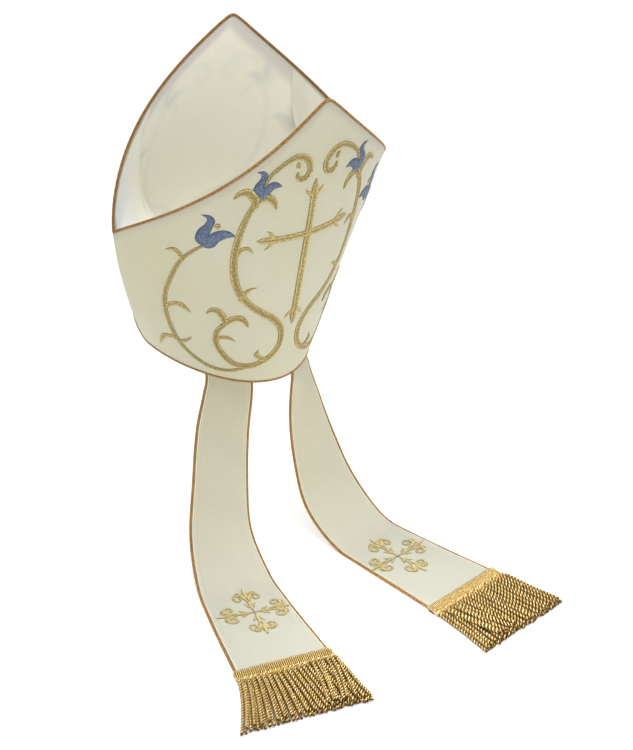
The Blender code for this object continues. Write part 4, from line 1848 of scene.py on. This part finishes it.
ROPE_LAYERS = (
    RopeLayer(40, 2.3 * MM, 1.0, drift=0.15 * MM, shadow=0.9),
    RopeLayer(20, 5.9 * MM, 0.97, start=-0.97, end=0.95, short=1.2 * MM, drift=0.25 * MM),
    RopeLayer(6, 8.6 * MM, 0.6, start=-0.95, end=-0.45, short=4.0 * MM, drift=1.5 * MM, swing=13 * MM),
)


@dataclass
class Fringe:
    """A braid heading of slanted ribs and layers of twisted bullion ropes with rounded loop ends.

    The spreads are how far the outer and inner ropes lean out, as shares of the length. overlap is how far
    the ribs lap over the cloth, as a share of the heading's depth, and the tips gather sideways by lock.
    """

    lappet: Lappet
    outer_spread: float
    inner_spread: float
    seed: int
    heading_width: float = 0.098
    heading_depth: float = 0.0125
    heading_thickness: float = 0.0034
    length: float = 0.069
    rib_pitch: float = 1.9 * MM
    rib_radius: float = 0.66 * MM
    rib_slant: float = 2.0 * MM
    overlap: float = 0.14
    rope_radius: float = 2.05 * MM
    rope_pitch: float = 7.4 * MM
    phase_step: float = 0.9
    lean_curve: float = 1.3
    lock: float = 0.7 * MM
    locks: float = 5.5
    tucked: float = 1.5 * MM
    root_gap: float = 0.5 * MM
    loop_end: float = 2.2 * MM
    wave: float = 0.3 * MM
    floor_gap: float = 0.1 * MM

    def place(self, local: Array) -> Array:
        """Points of the heading's own frame (across, along, up) turned and moved to the lappet's end.

        Args:
            local: points in the heading's own frame.

        Returns:
            Points in the frame.
        """
        end = self.lappet.middle(np.array(1.0), np.array(0.0))
        angle = radians(self.lappet.fall_rows[-1].turn)
        c, s = cos(angle), sin(angle)
        x, y, z = np.moveaxis(local, -1, 0)
        y = y + self.lappet.form.clearance
        return np.stack([end[0] + x * c - y * s, end[1] + x * s + y * c, z - self.lappet.drop], -1)

    def heading(self, look: bpy.types.Material) -> bpy.types.Object:
        """The braid: a flat rounded core under slanted ribs of wound thread that lap over the cloth's end.

        Args:
            look: its material.

        Returns:
            The heading.
        """
        pile = MeshPile()
        across = np.linspace(-0.49, 0.49, 40)[:, None] * self.heading_width
        turn = np.linspace(0.0, 2 * pi, 16, endpoint=False)[None, :]
        along = np.sign(np.cos(turn)) * np.abs(np.cos(turn)) ** 0.4
        up = np.sign(np.sin(turn)) * np.abs(np.sin(turn)) ** 0.4
        y = self.heading_depth * (0.5 + 0.44 * along)
        z = self.heading_thickness * (0.42 + 0.36 * up)
        core = self.place(np.stack(np.broadcast_arrays(across, y, z), -1))
        # The core takes the full groove tone: painted shade seen between the ribs.
        pile.add(core, plain_map(core, y, across), {"groove": np.ones(core.shape[:2])})
        share = np.linspace(0.0, 1.0, 26)
        for start in np.arange(-0.5, 0.5, self.rib_pitch / self.heading_width)[1:] * self.heading_width:
            arch = np.sin(pi * share)
            rib = np.column_stack([
                start + self.rib_slant * (share - 0.5),
                self.heading_depth * (0.97 * share - self.overlap * (1 - share)),
                self.heading_thickness * (0.30 + 0.45 * arch**0.35 + 0.5 * (1 - share) ** 4),
            ])
            path = self.place(rib)
            out = np.tile([0.0, 0.0, 1.0], (len(path), 1))
            # The ribs' undersides carry painted shade.
            tube(pile, path, out, self.rib_radius * (0.75 + 0.25 * arch**0.5), sides=10, groove=0.9)
        made = pile.make(f"fringe_heading_{self.lappet.name}", look, 80.0)
        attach(made, BODY)
        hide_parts(f"lappet_{self.lappet.name}_fringe")
        return made

    def ropes(self, look: bpy.types.Material) -> None:
        """The ropes: each leaves the heading, leans out, gathers into a lock, sways and rounds off in a loop.

        Args:
            look: its material.
        """
        random = np.random.default_rng(self.seed)
        pile = MeshPile()
        side = self.lappet.hand.value
        share = np.linspace(0.0, 1.0, 80)
        reach = self.heading_width / 2 - self.rope_radius
        for layer in ROPE_LAYERS:
            for index, spot in enumerate(side * np.linspace(layer.start, layer.end, layer.count)):
                lean = self.outer_spread * max(spot * side, 0) - self.inner_spread * max(-spot * side, 0)
                length = self.length * (1 + random.uniform(-0.02, 0.015)) - layer.short
                drift, bow = random.normal(0.0, layer.drift), random.normal(0.0, layer.drift)
                x = spot * reach + side * layer.fan * lean * length * share**self.lean_curve
                gather = self.lock * sin(pi * self.locks * spot + self.seed)
                x = x + gather * share + (drift + side * layer.swing) * share**1.5 + bow * np.sin(pi * share)
                y = self.heading_depth - self.tucked + (length + self.tucked) * share
                low = min(layer.rest, self.heading_thickness * 0.8)
                z = low + (layer.rest - low) * ease(share / 0.16) + self.wave * np.sin(9 * share + 40 * spot)
                z = np.maximum(z, self.rope_radius + self.floor_gap)
                path = self.place(np.column_stack([x, y, z]))
                up = np.tile([0.0, 0.0, 1.0], (len(path), 1))
                twisted(
                    pile, evenly(path, len(path)), up, self.rope_radius, self.rope_pitch, plies=2,
                    phase=self.phase_step * index + random.normal(0.0, 0.5), open_root=self.root_gap,
                    tip=self.loop_end, shadow=layer.shadow,
                )
        made = pile.make(f"fringe_ropes_{self.lappet.name}", look, 80.0)
        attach(made, BODY)


@dataclass(frozen=True)
class Lamp:
    """A square area light, with its power in watts and its spread in degrees.

    With no aim it looks at the camera's target.
    """

    name: str
    spot: tuple[float, float, float]
    side: float
    power: float
    aim: tuple[float, float, float] | None = None
    spread: float = 180.0


LAMPS = (
    Lamp("overhead", (0.1, 0.5, 2.4), 2.2, 18.0),
    Lamp("key", (2.08, 1.11, 1.1), 2.2, 9.5),
    Lamp("low", (0.02, 0.40, 0.75), 0.3, 0.72, (0.02, 0.36, -0.2), 50.0),
    Lamp("side", (-0.6, 0.95, 0.0), 0.4, 0.2, (-0.07, 0.22, -0.18), 42.0),
)


@dataclass(frozen=True)
class Studio:
    """Plain pale floor, an even sky, the lamps and the camera at the photograph's angle."""

    azimuth: float = radians(40.58)
    elevation: float = radians(28.86)
    roll: float = radians(1.96)
    distance: float = 1.967
    target: tuple[float, float, float] = (-0.06918, 0.06451, -0.05985)
    lens: float = 96.0
    sensor: float = 36.0
    floor_size: float = 40.0
    floor_grey: float = 0.96
    floor_glow: float = 0.3
    sky: float = 0.72

    def camera(self) -> None:
        """A camera that looks at the target, tipped by the roll."""
        level_part = cos(self.elevation)
        back = Vector((sin(self.azimuth) * level_part, cos(self.azimuth) * level_part, sin(self.elevation)))
        level = (-back).cross(Vector((0, 0, 1))).normalized()
        upward = level.cross(-back)
        right = level * cos(self.roll) + upward * sin(self.roll)
        up = upward * cos(self.roll) - level * sin(self.roll)
        data = bpy.data.cameras.new("camera")
        data.sensor_fit = "VERTICAL"
        data.sensor_height = self.sensor
        data.lens = self.lens
        camera = bpy.data.objects.new("camera", data)
        spot = Vector(self.target) + back * self.distance
        camera.matrix_world = Matrix.Translation(spot) @ Matrix((right, up, back)).transposed().to_4x4()
        bpy.context.scene.collection.objects.link(camera)
        bpy.context.scene.camera = camera

    def floor(self, height: float) -> None:
        """A wide pale floor at the object's lowest point.

        Args:
            height: how high it lies.
        """
        half = self.floor_size / 2
        mesh = bpy.data.meshes.new("floor")
        corner = [(-half, -half, height), (half, -half, height), (half, half, height), (-half, half, height)]
        mesh.from_pydata(corner, [], [(0, 1, 2, 3)])
        look = Wiring("floor", 0.9)
        look.shader.inputs["Base Color"].default_value = (*(self.floor_grey,) * 3, 1.0)
        look.shader.inputs["Emission Color"].default_value = (1.0, 1.0, 1.0, 1.0)
        look.shader.inputs["Emission Strength"].default_value = self.floor_glow
        mesh.materials.append(look.material)
        made = bpy.data.objects.new("floor", mesh)
        bpy.context.scene.collection.objects.link(made)

    def light(self, lamp: Lamp) -> None:
        """Put up one area light and turn it to what it looks at.

        Args:
            lamp: its place, size and power.
        """
        data = bpy.data.lights.new(lamp.name, "AREA")
        data.size = lamp.side
        data.energy = lamp.power
        data.spread = radians(lamp.spread)
        made = bpy.data.objects.new(lamp.name, data)
        made.location = lamp.spot
        toward = Vector(lamp.aim or self.target) - Vector(lamp.spot)
        made.rotation_euler = toward.to_track_quat("-Z", "Y").to_euler()
        bpy.context.scene.collection.objects.link(made)

    def build(self, height: float) -> None:
        """Camera, floor, even sky and the lamps.

        Args:
            height: how high the floor lies.
        """
        self.camera()
        self.floor(height)
        world = bpy.data.worlds.new("studio")
        world.use_nodes = True
        world.node_tree.nodes["Background"].inputs["Color"].default_value = (1.0, 1.0, 1.0, 1.0)
        world.node_tree.nodes["Background"].inputs["Strength"].default_value = self.sky
        bpy.context.scene.world = world
        for lamp in LAMPS:
            self.light(lamp)
        bpy.context.scene.view_settings.view_transform = "Standard"


def main() -> None:
    """Build the mitre's looks piece by piece."""
    logging.basicConfig(level=logging.INFO, format="%(message)s")
    Studio().build(CAD_BOX[0].z)
    crown = Crown()
    crown.build()
    Gussets(crown.form).build()
    # The lappets' gold is the lighter copy of the gold thread, painted light.
    satin, gold, copper, bullion, thread_and_highlight = (
        finish.dress() for finish in (LAPPET_SATIN, GOLD_PAINTED_LIGHTER, COPPER, BULLION, THREAD_AND_FOLD_HIGHLIGHT)
    )
    for hand, rows, seat, shift, outer, inner, aside in (
        (Hand.LEFT, LEFT_FALL, 0.052, -5 * MM, 0.38, 0.06, -3 * MM),
        (Hand.RIGHT, RIGHT_FALL, 0.046, 0.0, 0.08, 0.19, 2 * MM),
    ):
        lappet = Lappet(crown.form, hand, rows, seat, motif_aside=aside, seat_shift=shift)
        fringe = Fringe(lappet, outer, inner, 20 + hand.value)
        fringe.heading(bullion)
        fringe.ropes(bullion)
        lappet.cloth(satin)
        lappet.cords(copper, thread_and_highlight)
        lappet.motif(gold)


if __name__ == "__main__":
    main()
